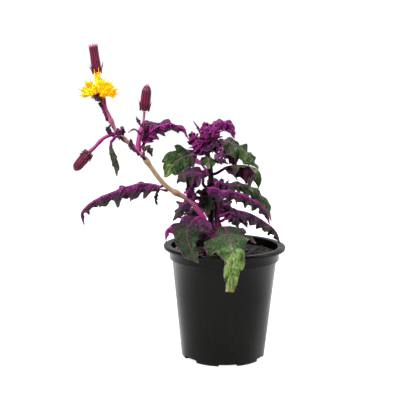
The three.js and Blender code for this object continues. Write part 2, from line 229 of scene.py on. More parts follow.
class Route:
    """Smooth curve through a few given points, walked at even speed."""

    STEPS = 24

    def __init__(self, points: tuple[Point, ...], faces: tuple[Point, ...]) -> None:
        """Lays the curve.

        Args:
            points: Points that it runs through, millimetres.
            faces: Directions that its upper side looks in, evenly spaced from start to end.
        """
        self.faces = [Vector(face) for face in faces]
        knots = [Vector(point) for point in points]
        ends = [2 * knots[0] - knots[1], *knots, 2 * knots[-1] - knots[-2]]
        self.points = [knots[0]]
        for n in range(1, len(knots)):
            for step in range(1, self.STEPS + 1):
                self.points.append(self._between(ends[n - 1:n + 3], step / self.STEPS))
        self.lengths = [0.0]
        for first, second in zip(self.points, self.points[1:]):
            self.lengths.append(self.lengths[-1] + (second - first).length)
        self.length = self.lengths[-1]

    @staticmethod
    def _between(knots: list[Vector], share: float) -> Vector:
        """Centripetal Catmull-Rom point.

        Args:
            knots: Four points in a row.
            share: Place between the two middle ones, 0..1.

        Returns:
            The point.
        """
        times = [0.0]
        for first, second in zip(knots, knots[1:]):
            times.append(times[-1] + max((second - first).length, 1e-6) ** 0.5)
        t = lerp(times[1], times[2], share)
        row = list(knots)
        for reach in (1, 2):
            row = [row[i].lerp(row[i + 1], (t - times[i]) / (times[i + reach] - times[i]))
                   for i in range(len(row) - 1)]
        return row[0].lerp(row[1], share)

    def at(self, share: float) -> tuple[Vector, Vector, Vector, Vector]:
        """Frame at share 0..1 of the length.

        Args:
            share: Place along the route.

        Returns:
            Point, tangent, side and up, the last three of length one.
        """
        goal = clamp(share) * self.length
        low, high = 0, len(self.lengths) - 1
        while high - low > 1:
            middle = (low + high) // 2
            low, high = (middle, high) if self.lengths[middle] <= goal else (low, middle)
        part = (goal - self.lengths[low]) / max(self.lengths[high] - self.lengths[low], 1e-9)
        point = self.points[low].lerp(self.points[high], part)
        before = self.points[max(low - 1, 0)]
        after = self.points[min(high + 1, len(self.points) - 1)]
        tangent = (after - before).normalized()
        place = clamp(share) * (len(self.faces) - 1)
        index = min(int(place), len(self.faces) - 2)
        face = self.faces[index].lerp(self.faces[index + 1], place - index)
        side = face.cross(tangent).normalized()
        return point, tangent, side, tangent.cross(side)


def place(name: str, data: bpy.types.ID) -> bpy.types.Object:
    """Puts a mesh, light or camera in the scene as an object."""
    made = bpy.data.objects.new(name, data)
    bpy.context.scene.collection.objects.link(made)
    return made


def place_mesh(mesh_data: bmesh.types.BMesh, name: str,
               materials: Sequence[bpy.types.Material] = ()) -> bpy.types.Object:
    """Puts a bmesh in the scene.

    Args:
        mesh_data: The finished bmesh, in metres; it is freed here.
        name: Name of the object.
        materials: Its material slots.

    Returns:
        The new object.
    """
    data = bpy.data.meshes.new(name)
    mesh_data.to_mesh(data)
    mesh_data.free()
    for material in materials:
        data.materials.append(material)
    return place(name, data)


def walled(mesh_data: bmesh.types.BMesh, thickness: float,
           materials: list[bpy.types.Material]) -> bmesh.types.BMesh:
    """Gives an open sheet its thickness below the side that faces up.

    Args:
        mesh_data: The sheet; it is freed here.
        thickness: Wall in millimetres.
        materials: Slots of the piece: upper side, underside, and others.

    Returns:
        The closed sheet, its underside in the second slot.
    """
    sheet = place_mesh(mesh_data, "sheet", materials)
    wall = sheet.modifiers.new("wall", "SOLIDIFY")
    wall.thickness, wall.offset, wall.material_offset = thickness * MM, -1.0, 1
    bpy.context.view_layer.update()
    shaped = sheet.evaluated_get(bpy.context.evaluated_depsgraph_get())
    result = bmesh.new()
    result.from_mesh(shaped.to_mesh())
    shaped.to_mesh_clear()
    data = sheet.data
    bpy.data.objects.remove(sheet)
    bpy.data.meshes.remove(data)
    return result


def close_ends(mesh: bmesh.types.BMesh,
               verts: list[bmesh.types.BMVert]) -> list[bmesh.types.BMFace]:
    """Closes a grid that was rolled into a tube.

    Args:
        mesh: The mesh, which may hold other shells.
        verts: All points of the rolled grid.

    Returns:
        Every face of the closed shell, looking outwards.
    """
    faces = {face for vert in verts for face in vert.link_faces}
    bmesh.ops.remove_doubles(mesh, verts=verts, dist=1e-6)
    shell = [face for face in faces if face.is_valid]
    own = {vert for face in shell for vert in face.verts}
    rims = [edge for edge in mesh.edges if edge.is_boundary and edge.verts[0] in own]
    shell += bmesh.ops.holes_fill(mesh, edges=rims, sides=0)["faces"]
    bmesh.ops.recalc_face_normals(mesh, faces=shell)
    return shell


def finish_piece(mesh_data: bmesh.types.BMesh, name: str, materials: list[bpy.types.Material],
                 node_names: tuple[str, ...], sharp_deg: float) -> bpy.types.Object:
    """Makes a smooth-shaded piece that rides with the pot.

    Args:
        mesh_data: The finished bmesh, in metres; it is freed here.
        name: Name of the piece.
        materials: Its material slots.
        node_names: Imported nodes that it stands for.
        sharp_deg: Edges that turn more than this stay sharp.

    Returns:
        The new object.
    """
    piece = place_mesh(mesh_data, name, materials)
    piece.data.shade_smooth()
    piece.data.set_sharp_from_angle(angle=math.radians(sharp_deg))
    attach(piece, "root")
    if node_names:
        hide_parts(*node_names)
    LOG.info("%s: %d faces", name, len(piece.data.polygons))
    return piece


# ---- finishes --------------------------------------------------------------------------------
@dataclass(frozen=True)
class VelvetLeaf(Finish):
    """Living velvet leaf: a green blade under a nap of short purple hairs.

    The hairs stand thickest on veins, rim and young growth, so the eye sees green panels
    between purple veins, and a pinkish glow wherever the blade turns away. The paler pink at the
    margin and the bright magenta midrib are partly painted sheen and painted highlight, and the
    quilted relief is painted lighter on its pillows and darker, down to deep purple, in its
    hollows: painted highlight and painted shade.
    """

    name: str = "velvet_leaf_upper_hairy"
    dark_green: str = "#080c05"
    mid_green: str = "#2f4a1f"
    light_green: str = "#8dab58"
    purple: str = "#a01284"
    violet: str = "#651a80"
    # deep purple of the nap, also painted shade in the hollows of the quilting
    deep_purple_and_painted_shade: str = "#150312"
    # bright magenta of the midrib: partly its purple hairs, partly painted highlight
    rib: str = "#c433a6"
    # paler pink at the margin: partly its denser hairs, partly painted sheen
    rim: str = "#8f4480"
    scorch: str = "#b98a5c"
    vein_width: float = 0.09
    nap_mm: float = 0.9

    RELIEF = (1.1, 1.0)

    def pattern(self, shade: Shade) -> tuple[dict[str, object], Signal]:
        """Quilted green panels, veins and hairs; attributes say how purple and light."""
        light, purple, scorch, breadth = (shade.add("Attribute", out="Fac", attribute_name=name)
                                          for name in ("light", "purple", "scorch", "breadth"))
        blade = shade.add("UVMap", uv_map="blade")
        row = (shade.add("SeparateXYZ", blade, out="X") + (shade.patches(6.0, 2.0) - 0.5) * 0.25)
        reach = abs((shade.add("SeparateXYZ", blade, out="Y") - 0.5) * 2.0)
        to_vein = abs(shade.add("Math", row + 0.5, operation="FRACT") - 0.5)
        side_veins = (shade.add("MapRange", to_vein, 0.02, self.vein_width, 1.0, 0.0, **EASED)
                      * shade.add("MapRange", reach, 0.35, 1.0, 1.0, 0.15, **EASED))
        from_rib = reach * breadth
        midrib = shade.add("MapRange", from_rib, 0.5, 1.4, 1.0, 0.0, **EASED)
        veins = shade.add("Math", side_veins, midrib, operation="MAXIMUM")
        quilt, nap = shade.patches(2.6), shade.patches(self.nap_mm, 4.0)

        # the quilt noise also raises the relief, so it lightens the green on the pillows and
        # darkens it in the hollows: painted highlight and painted shade
        tone = (light + (shade.patches(7.0) - 0.5) * 0.55 + (quilt - 0.5) * 0.75 + veins * 0.16)
        green = shade.add("ValToRGB", tone)
        stops = green.socket.node.color_ramp.elements
        stops[0].color, stops[1].color = linear(self.dark_green), linear(self.light_green)
        stops.new(0.5).color = linear(self.mid_green)

        grain = nap - 0.5
        hairs = veins * (purple * 0.45 + 0.05) + purple + grain
        hairs = shade.add("MapRange", hairs, 0.15, 0.95, **EASED)
        young = shade.add("Mix", shade.add(
            "MapRange", shade.patches(22.0, 1.0), 0.5, 0.72, 0.0, 0.6, **EASED),
            self.purple, self.violet, **COLOURS)
        # low in the hollows of the quilting, where the nap turns deep purple: painted shade
        nap_share = quilt * 0.8 + (purple * 0.35 + grain)
        nap_tone = shade.add("Mix", shade.add("MapRange", nap_share, 0.5, 1.04, **EASED),
                             self.deep_purple_and_painted_shade, young, **COLOURS)
        # midrib of purple leaves turned bright magenta, partly painted highlight
        rib_tint_and_highlight = midrib * shade.add("MapRange", purple, 0.3, 0.9, 0.0, 0.75, **EASED)
        # margin turned paler pink, partly painted sheen
        edge = shade.add("MapRange", breadth - from_rib, 0.1, 0.8, 0.7, 0.0, **EASED)
        colour = shade.add("Mix", hairs, green, nap_tone, **COLOURS)
        for share, paint in ((rib_tint_and_highlight, self.rib), (edge, self.rim), (scorch, self.scorch)):
            colour = shade.add("Mix", share, colour, paint, **COLOURS)
        return {"Base Color": colour, "Roughness": 0.5, "IOR": 1.4, "Specular IOR Level": 0.35,
                "Sheen Weight": 0.1, "Sheen Roughness": 0.25,
                "Sheen Tint": "#d050c8"}, veins * -0.6 + (quilt * 1.5 + nap)


@dataclass(frozen=True)
class VelvetUnderside(Finish):
    """Underside of a velvet leaf: wine-dark skin with raised veins and a thin purple nap.

    It reads nearly black in shade and glows wine red where light grazes it.
    """

    name: str = "velvet_leaf_underside"
    skin: str = "#17040e"
    # paler wine on the raised veins and nap: partly their colour, partly painted highlight
    lit: str = "#4f1032"

    RELIEF = (0.3, 0.6)

    def pattern(self, shade: Shade) -> tuple[dict[str, object], Signal]:
        """Dark skin, paler on the veins and in the nap: partly their own colour, partly painted
        highlight where the relief rises.
        """
        row = shade.add("SeparateXYZ", shade.add("UVMap", uv_map="blade"), out="X")
        to_vein = abs(shade.add("Math", row + 0.5, operation="FRACT") - 0.5)
        veins = shade.add("MapRange", to_vein, 0.03, 0.12, 1.0, 0.0, **EASED)
        nap = shade.patches(1.0, 4.0)
        colour = shade.add("Mix", veins * 0.5 + nap * 0.6, self.skin, self.lit, **COLOURS)
        return {"Base Color": colour, "Roughness": 0.6, "IOR": 1.4, "Specular IOR Level": 0.25,
                "Sheen Weight": 0.08, "Sheen Roughness": 0.4, "Sheen Tint": "#b0559a"}, veins + nap


@dataclass(frozen=True)
class HairyStem(Finish):
    """Ridged living stem with short hairs: one tone on the flats, another on the ridges.

    The paler ridges are partly the ribs' own tone and partly painted highlight that lets the
    eye see the stem's ribs. The tone runs from the first pair of colours to the far pair along
    the stem.
    """

    name: str
    flat: str
    ridge: str
    far_flat: str
    far_ridge: str

    RELIEF = (0.2, 0.5)

    def pattern(self, shade: Shade) -> tuple[dict[str, object], Signal]:
        """Lengthwise streaks between flat and ridge colours."""
        tone, ridge = (shade.add("Attribute", out="Fac", attribute_name=name)
                       for name in ("tone", "ridge"))
        streaks = shade.patches(1.2, 3.0, (1, 1, 0.25))
        flat = shade.add("Mix", tone, self.flat, self.far_flat, **COLOURS)
        # ridge colours, paler than the flats: partly painted highlight on the ribs
        edge = shade.add("Mix", tone, self.ridge, self.far_ridge, **COLOURS)
        colour = shade.add("Mix", ridge + (streaks - 0.5) * 0.9, flat, edge, **COLOURS)
        return {"Base Color": colour, "Roughness": 0.5, "IOR": 1.4, "Specular IOR Level": 0.18,
                "Sheen Weight": 0.04, "Sheen Roughness": 0.3,
                "Sheen Tint": "#d080c8"}, streaks + shade.patches(0.8)


@dataclass(frozen=True)
class BudBract(Finish):
    """Overlapping flower bracts: thin maroon scales with a pale pink tip and a silky gloss.

    The seams between the scales are darkened by painted shade, the ridges carry painted
    highlight, and the pale pink streaks at the tips are painted highlight.
    """

    name: str = "flower_bract_silky"
    dark: str = "#180410"
    body: str = "#741440"
    tip: str = "#c98aa0"

    RELIEF = (0.15, 0.5)

    def pattern(self, shade: Shade) -> tuple[dict[str, object], Signal]:
        """Painted shade in the seams and painted highlight on the ridges.

        Attribute "tip" marks the pale ends, where the pale pink streaks are painted highlight.
        """
        tip, ridge = (shade.add("Attribute", out="Fac", attribute_name=name)
                      for name in ("tip", "ridge"))
        streaks = shade.patches(0.9, 4.0, (1, 1, 0.2))
        # maroon darkened in the seams between ridges: painted shade; lighter on the ridges: painted
        # highlight
        colour = shade.add("Mix", ridge + (streaks - 0.5), self.dark, self.body, **COLOURS)
        # pale pink streaks at the tips: painted highlight
        pale = shade.add("MapRange", tip * (streaks + 0.35), 0.35, 0.75, **EASED)
        colour = shade.add("Mix", pale, colour, self.tip, **COLOURS)
        return {"Base Color": colour, "Roughness": 0.42, "IOR": 1.45, "Specular IOR Level": 0.3,
                "Sheen Weight": 0.06, "Sheen Tint": "#c47aa8"}, streaks


@dataclass(frozen=True)
class FloretTube(Finish):
    """Waxy floret tubes, clear yellow below and orange at the open lobes.

    Thin petals let a little light through; most of their glow is painted, a faint yellow
    emission that shines under any light.
    """

    name: str = "floret_tube_waxy"
    yellow: str = "#ffda05"
    orange: str = "#f28404"

    RELIEF = (0.1, 0.4)

    def pattern(self, shade: Shade) -> tuple[dict[str, object], Signal]:
        """Yellow to orange; attribute "tip" runs up each tube."""
        tip = shade.add("Attribute", out="Fac", attribute_name="tip")
        share = shade.add("MapRange", tip * (shade.patches(2.2, 2.0) + 0.3), 0.5, 1.05, **EASED)
        colour = shade.add("Mix", share, self.yellow, self.orange, **COLOURS)
        return {"Base Color": colour, "Roughness": 0.45, "IOR": 1.4,
                # yellow emission: painted glow standing in for light through the petals
                "Emission Color": self.yellow, "Emission Strength": 0.25,
                "Subsurface Weight": 0.15,
                "Subsurface Radius": (0.002, 0.001, 0.0004)}, shade.patches(0.6, 2.0)


@dataclass(frozen=True)
class MouldedPot(Finish):
    """Black polypropylene, injection moulded: a semi-matte skin with faint flow marks.

    Handling leaves pale scuffs, so the reflection at the sides breaks up a little.
    """

    name: str = "black_polypropylene_moulded"
    base: str = "#090a07"
    scuffed: str = "#15160f"

    RELIEF = (0.05, 0.35)

    def pattern(self, shade: Shade) -> tuple[dict[str, object], Signal]:
        """Flow marks that change gloss, and scuffs that change colour."""
        flow = shade.patches(14.0, 4.0, (1, 1, 0.35))
        scuffs = flow * shade.patches(3.0, 6.0, (1, 1, 0.5))
        colour = shade.add("Mix", shade.add("MapRange", scuffs, 0.22, 0.5, **EASED),
                           self.base, self.scuffed, **COLOURS)
        roughness = shade.add("MapRange", flow, 0.3, 0.7, 0.22, 0.34, **EASED)
        return {"Base Color": colour, "Roughness": roughness, "IOR": 1.49,
                "Specular IOR Level": 0.1}, shade.patches(0.7, 2.0)


@dataclass(frozen=True)
class PottingMixFinish(Finish):
    """Moist peat with bark fibre: near black, with brown crumbs and dull wet glints."""

    name: str = "peat_mix_moist"
    wet: str = "#0b0806"
    crumb: str = "#33241a"

    RELIEF = (0.8, 0.9)

    def pattern(self, shade: Shade) -> tuple[dict[str, object], Signal]:
        """Brown lumps in near-black peat."""
        lumps = shade.patches(2.5, 6.0)
        colour = shade.add("Mix", shade.add("MapRange", lumps, 0.45, 0.75, **EASED),
                           self.wet, self.crumb, **COLOURS)
        return {"Base Color": colour, "Roughness": 0.85}, lumps


@dataclass(frozen=True)
class GrainFinish(Finish):
    """Expanded perlite and feed grains: porous and chalky, so matte, cream to gold."""

    name: str = "perlite_grain_porous"
    cream: str = "#e6d6b4"
    gold: str = "#c08a3c"

    RELIEF = (0.2, 0.6)

    def pattern(self, shade: Shade) -> tuple[dict[str, object], Signal]:
        """Some grains cream, some gold."""
        share = shade.add("MapRange", shade.patches(4.0, 1.0), 0.4, 0.6, **EASED)
        colour = shade.add("Mix", share, self.cream, self.gold, **COLOURS)
        return {"Base Color": colour, "Roughness": 0.8}, shade.patches(0.5)


@dataclass(frozen=True)
class FloorPaper(Finish):
    """White paper sweep: matte, and bright enough to melt into the surround."""

    name: str = "floor_white_paper"
    low: str = "#b4b4b4"
    high: str = "#c0c0c0"

    RELIEF = (0.0, 0.0)

    def pattern(self, shade: Shade) -> tuple[dict[str, object], Signal]:
        """Nearly even white."""
        paper = shade.patches(40.0, 2.0)
        return {"Base Color": shade.add("Mix", paper, self.low, self.high, **COLOURS),
                "Roughness": 0.9, "Specular IOR Level": 0.1, "Emission Color": "#ffffff",
                "Emission Strength": 0.88}, paper


# ---- leaves ----------------------------------------------------------------------------------
STEM_FOOT = 90.0  # height where the stems start, 1 mm inside the potting mix
MAIN_STEM: tuple[Point, ...] = (
    (-11, 8, STEM_FOOT), (-12, 8, 122), (-12, 7, 144), (-13, 6, 160), (-16, 4, 177), (-18, 3, 187))
SECOND_STEM: tuple[Point, ...] = (
    (-3, 0, STEM_FOOT), (-5, -1, 107), (-7, -2, 123), (-8, -3, 135), (-12, -4, 143),
    (-16, -5, 149.5))
FLOWER_STALK: tuple[Point, ...] = (
    (-15, -12, STEM_FOOT), (-17, -12, 108), (-18, -12, 122), (-23, -13, 130), (-30, -14, 138),
    (-50, -16, 150.5), (-73, -18, 180), (-90, -20, 194.5), (-98, -21, 210), (-104, -22, 220))
LOW_BRANCH: tuple[Point, ...] = (
    (-90.5, -20, 194.8), (-101, -22, 190.5), (-109, -24, 182.5), (-112.4, -25, 179.4))
MIDDLE_BRANCH: tuple[Point, ...] = (
    (-72.5, -18, 180), (-73, -17, 187), (-69, -14, 205), (-68.5, -13, 212))
TOP_BRANCH: tuple[Point, ...] = (
    (-99, -21, 211.5), (-101, -14, 217), (-103, -8, 228), (-108, -5, 242))


def stem_point(start: Point) -> Point:
    """Finds where a leaf stalk joins its stem.

    Args:
        start: Foot of the leaf, millimetres.

    Returns:
        The nearest point on the centre line of any stem, slightly lowered.
    """
    spot, best = Vector(start), None
    for line in (MAIN_STEM, SECOND_STEM, FLOWER_STALK, LOW_BRANCH, MIDDLE_BRANCH, TOP_BRANCH):
        for low, high in zip(line, line[1:]):
            _, share = geometry.intersect_point_line(spot, Vector(low), Vector(high))
            near = Vector(low).lerp(Vector(high), clamp(share))
            if best is None or (near - spot).length < (best - spot).length:
                best = near
    return (best.x, best.y, best.z - 0.6)


class Hue(Enum):
    """How purple a leaf is and how light its green is, both from base to tip."""

    YOUNG = ((1.15, 1.0, 0.9), (0.1, 0.2))
    PURPLE = ((1.0, 0.8, 0.5), (0.2, 0.4))
    DUSKY = ((0.8, 0.5, 0.35), (0.0, 0.2))
    GREEN = ((0.65, 0.25, 0.1, 0.15), (0.25, 0.6))
    OLIVE = ((0.5, 0.2, 0.3), (0.3, 0.35))
    FRONT_LEFT = ((0.9, 0.55, 0.25, 0.1, 0.1), (0.1, 0.15, 0.25))
    FRONT_RIGHT = ((0.5, 0.35, 0.22, 0.05, 0.0), (0.15, 0.3, 0.5, 0.8, 0.85))


@dataclass
class Leaf:
    """One leaf: stalk and midrib tube, and a folded, toothed and ruffled blade.

    Attributes:
        node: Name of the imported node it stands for.
        route: Midrib from the stem to the tip, millimetres.
        faces: Directions that the upper side looks in, base to tip.
        plus: Half widths of the blade on the side the frame's side vector points to, base to tip.
        minus: Half widths on the other side; empty if they are the same.
        fold: Degrees that each half hangs below the midrib, base to tip, plus side then minus
            side, or one row for both.
        curl: Further degrees of roll between midrib and rim, plus side and minus side.
        stalk: Share of the route that is stalk.
        teeth: Teeth on each side.
        depth: How deep the teeth cut, share of the half width.
        ruffle: Height of the waves along the rim, millimetres.
        waves: Number of waves along the blade.
        sway: Degrees that the halves swing up and down with the waves.
        hue: Colouring.
        scorch: Share of the blade at the tip that is dry and brown.
        blunt: Half width of a cut-off tip, millimetres.
        green_rim: How much of the purple fades between midrib and rim.
        along: Grid lines along the blade.
        across: Grid lines across it.
        piece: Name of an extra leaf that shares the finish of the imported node.
    """

    node: str
    route: tuple[Point, ...]
    faces: tuple[Point, ...]
    plus: tuple[float, ...]
    minus: tuple[float, ...] = ()
    fold: tuple[tuple[float, ...], ...] = ((25,),)
    curl: tuple[float, float] = (20, 20)
    stalk: float = 0.14
    teeth: int = 6
    depth: float = 0.28
    ruffle: float = 1.1
    waves: float = 4.0
    sway: float = 8.0
    hue: Hue = Hue.PURPLE
    scorch: float = 0.0
    blunt: float = 0.0
    green_rim: float = 0.0
    along: int = 72
    across: int = 20
    piece: str = ""

    SLOPE = 0.16  # how far the side veins run forward, share of the blade
    THICKNESS = 0.55
    STALK_RADII = (1.3, 1.2, 0.6, 0.35, 0.25, 0.2)
    LAYERS = ("purple", "light", "scorch", "tone", "ridge", "breadth")

    @cached_property
    def seed(self) -> int:
        """Number that gives the leaf its own waves."""
        return sum(ord(letter) for letter in self.piece or self.node)

    def build(self, finishes: list[bpy.types.Material], slot: str) -> bpy.types.Object:
        """Builds the leaf as one piece.

        Args:
            finishes: Upper side, underside and stalk materials.
            slot: The record's material slot; not used.

        Returns:
            The finished leaf.
        """
        curve = Route(self.route, self.faces)
        mesh = bmesh.new()
        layers = {name: mesh.verts.layers.float.new(name) for name in self.LAYERS}
        uv = mesh.loops.layers.uv.new("blade")
        bmesh.ops.create_grid(mesh, x_segments=self.along, y_segments=self.across, size=1.0,
                              matrix=Matrix.Identity(4), calc_uvs=False)
        places = {vert: (0.5 * (vert.co.x + 1), vert.co.y) for vert in mesh.verts}
        for face in mesh.faces:
            for loop in face.loops:
                u, y = places[loop.vert]
                loop[uv].uv = ((u - self.SLOPE * abs(y)) * self.teeth, 0.5 + 0.5 * y)
        for vert, (u, y) in places.items():
            self._dye(vert, layers, u, abs(y))
            vert.co = self._blade_point(curve, u, y) * MM
        mesh = walled(mesh, self.THICKNESS, finishes)
        layers = {name: mesh.verts.layers.float[name] for name in self.LAYERS}
        Tube(route=(stem_point(self.route[0]), *self.route), faces=(self.faces[0], *self.faces),
             radii=self.STALK_RADII, sink=1.0, along=36, around=8,
             reach=0.96).add_to(mesh, layers, material_index=2)
        return finish_piece(mesh, self.piece or self.node, finishes,
                            () if self.piece else (self.node,), 70.0)

    def _tooth(self, u: float, side: float) -> float:
        """Depth of the tooth notch.

        Args:
            u: Place along the blade, 0..1.
            side: 1 or -1.

        Returns:
            0 at a tooth's point and 1 in the notch.
        """
        row = (u - self.SLOPE) * self.teeth + (0.0 if side > 0 else 0.37)
        saw = row - math.floor(row)
        return (1 - saw) ** 1.3 if saw > 0.08 else (1 - 0.08) ** 1.3 * saw / 0.08

    def _blade_point(self, curve: Route, u: float, y: float) -> Vector:
        """Point of the blade.

        Args:
            curve: The midrib.
            u: Place along the blade, 0..1.
            y: Place across it, -1..1.

        Returns:
            The point in millimetres.
        """
        reach = abs(y)
        side, pick = (1.0, 0) if y >= 0 else (-1.0, 1)
        width = max(profile_at(self.minus or self.plus if pick else self.plus, u), 0.15,
                    self.blunt)
        width *= 1 - self.depth * self._tooth(u, side) * reach ** 3
        phase = self.seed * 1.7 + (2.6 if pick else 0.9)
        swing = math.sin(FULL_TURN * self.waves * u + phase)
        fold = math.radians(profile_at(self.fold[pick % len(self.fold)], u) + self.sway * swing)
        fold *= clamp(u / 0.1)
        curl = math.radians(self.curl[pick])
        angle = fold + curl * reach
        out = width * (math.sin(angle) - math.sin(fold)) / curl
        drop = width * (math.cos(fold) - math.cos(angle)) / curl
        size = clamp(width / 6) * clamp(u * 6) * clamp((1 - u) * 5 + 0.15)
        calm = clamp(width / 12)  # narrow leaves are smoother
        wave = self.ruffle * size * reach ** 2 * math.cos(FULL_TURN * self.waves * 1.6 * u + phase)
        rough = noise.noise(Vector((u * 7 + self.seed, y * 2.2, self.seed * 0.37)))
        fine = noise.noise(Vector((u * 26, y * 7, self.seed * 0.71)))
        wave += self.ruffle * size * (0.8 * reach * rough + 0.3 * calm * fine)
        row = (u - self.SLOPE * reach) * self.teeth
        to_vein = abs(row - round(row))
        pillow = 0.9 * size * calm * math.cos(math.pi * (1 - 2 * to_vein)) * clamp(reach * 3)
        groove = -0.15 * math.exp(-(reach * width / 0.8) ** 2)
        ahead = 0.35 * width * reach ** 3 * self.depth * (1 - self._tooth(u, side))
        point, tangent, side_way, up = curve.at(self.stalk + (1 - self.stalk) * u)
        return (point + side_way * (out * side) + up * (wave + pillow + groove - drop)
                + tangent * ahead)

    def _dye(self, vert: bmesh.types.BMVert, layers: dict, u: float, reach: float) -> None:
        """Writes the colouring of one point of the blade.

        Args:
            vert: The point.
            layers: Attribute layers by name.
            u: Place along the blade, 0..1.
            reach: Place between midrib and rim, 0..1.
        """
        purples, lights = self.hue.value
        purple = profile_at(purples, u) - self.green_rim * reach + 0.25 * reach ** 8
        vert[layers["purple"]] = max(purple, 0.0)
        vert[layers["light"]] = clamp(profile_at(lights, u))
        vert[layers["scorch"]] = clamp((u - 1 + self.scorch) / 0.02) if self.scorch else 0.0
        vert[layers["breadth"]] = max(profile_at(self.plus, u),
                                      profile_at(self.minus or self.plus, u), 1.0)


@dataclass
class Tube:
    """Round or ridged tube along a route, closed at both ends.

    Attributes:
        route: Points in millimetres.
        faces: Directions that set its roll.
        radii: Radius along it, millimetres.
        sink: Share of the radius that its axis lies below the route.
        ridges: Lengthwise ridges.
        ridge_height: Their height, share of the radius.
        joints: Places along it, 0..1, where it swells.
        tones: Colour tone along it.
        along: Grid lines along it.
        around: Grid lines around it.
        reach: Share of the route that it covers.
    """

    route: tuple[Point, ...]
    faces: tuple[Point, ...] = ((0.2, -1, 0.1), (0.2, -1, 0.1))
    radii: tuple[float, ...] = (1.0,)
    sink: float = 0.0
    ridges: int = 5
    ridge_height: float = 0.08
    joints: tuple[float, ...] = ()
    tones: tuple[float, ...] = (0.0, 0.0)
    along: int = 60
    around: int = 16
    reach: float = 1.0

    JOINT_SWELL = 0.4  # share of the radius
    JOINT_LENGTH = 3.0  # millimetres

    def add_to(self, mesh: bmesh.types.BMesh, layers: dict, material_index: int = 0) -> None:
        """Adds the tube to a mesh.

        Args:
            mesh: The mesh, which may hold other shells.
            layers: Its attribute layers "tone" and "ridge".
            material_index: Slot of the tube's material.
        """
        curve = Route(self.route, self.faces)
        verts = bmesh.ops.create_grid(mesh, x_segments=self.along, y_segments=self.around,
                                      size=1.0, matrix=Matrix.Identity(4),
                                      calc_uvs=False)["verts"]
        for vert in verts:
            t, turn = 0.5 * (vert.co.x + 1), math.pi * (vert.co.y + 1)
            radius = profile_at(self.radii, t)
            for joint in self.joints:
                from_joint = (t - joint) * curve.length / self.JOINT_LENGTH
                radius *= 1 + self.JOINT_SWELL * math.exp(-from_joint ** 2)
            ridge = 0.5 + 0.5 * math.cos(self.ridges * turn)
            radius *= 1 + self.ridge_height * (2 * ridge - 1)
            point, _, side, up = curve.at(t * self.reach)
            vert[layers["tone"]] = clamp(profile_at(self.tones, t))
            vert[layers["ridge"]] = ridge
            vert.co = (point + side * radius * math.sin(turn)
                       + up * radius * (math.cos(turn) - self.sink)) * MM
        for face in close_ends(mesh, verts):
            face.material_index = material_index


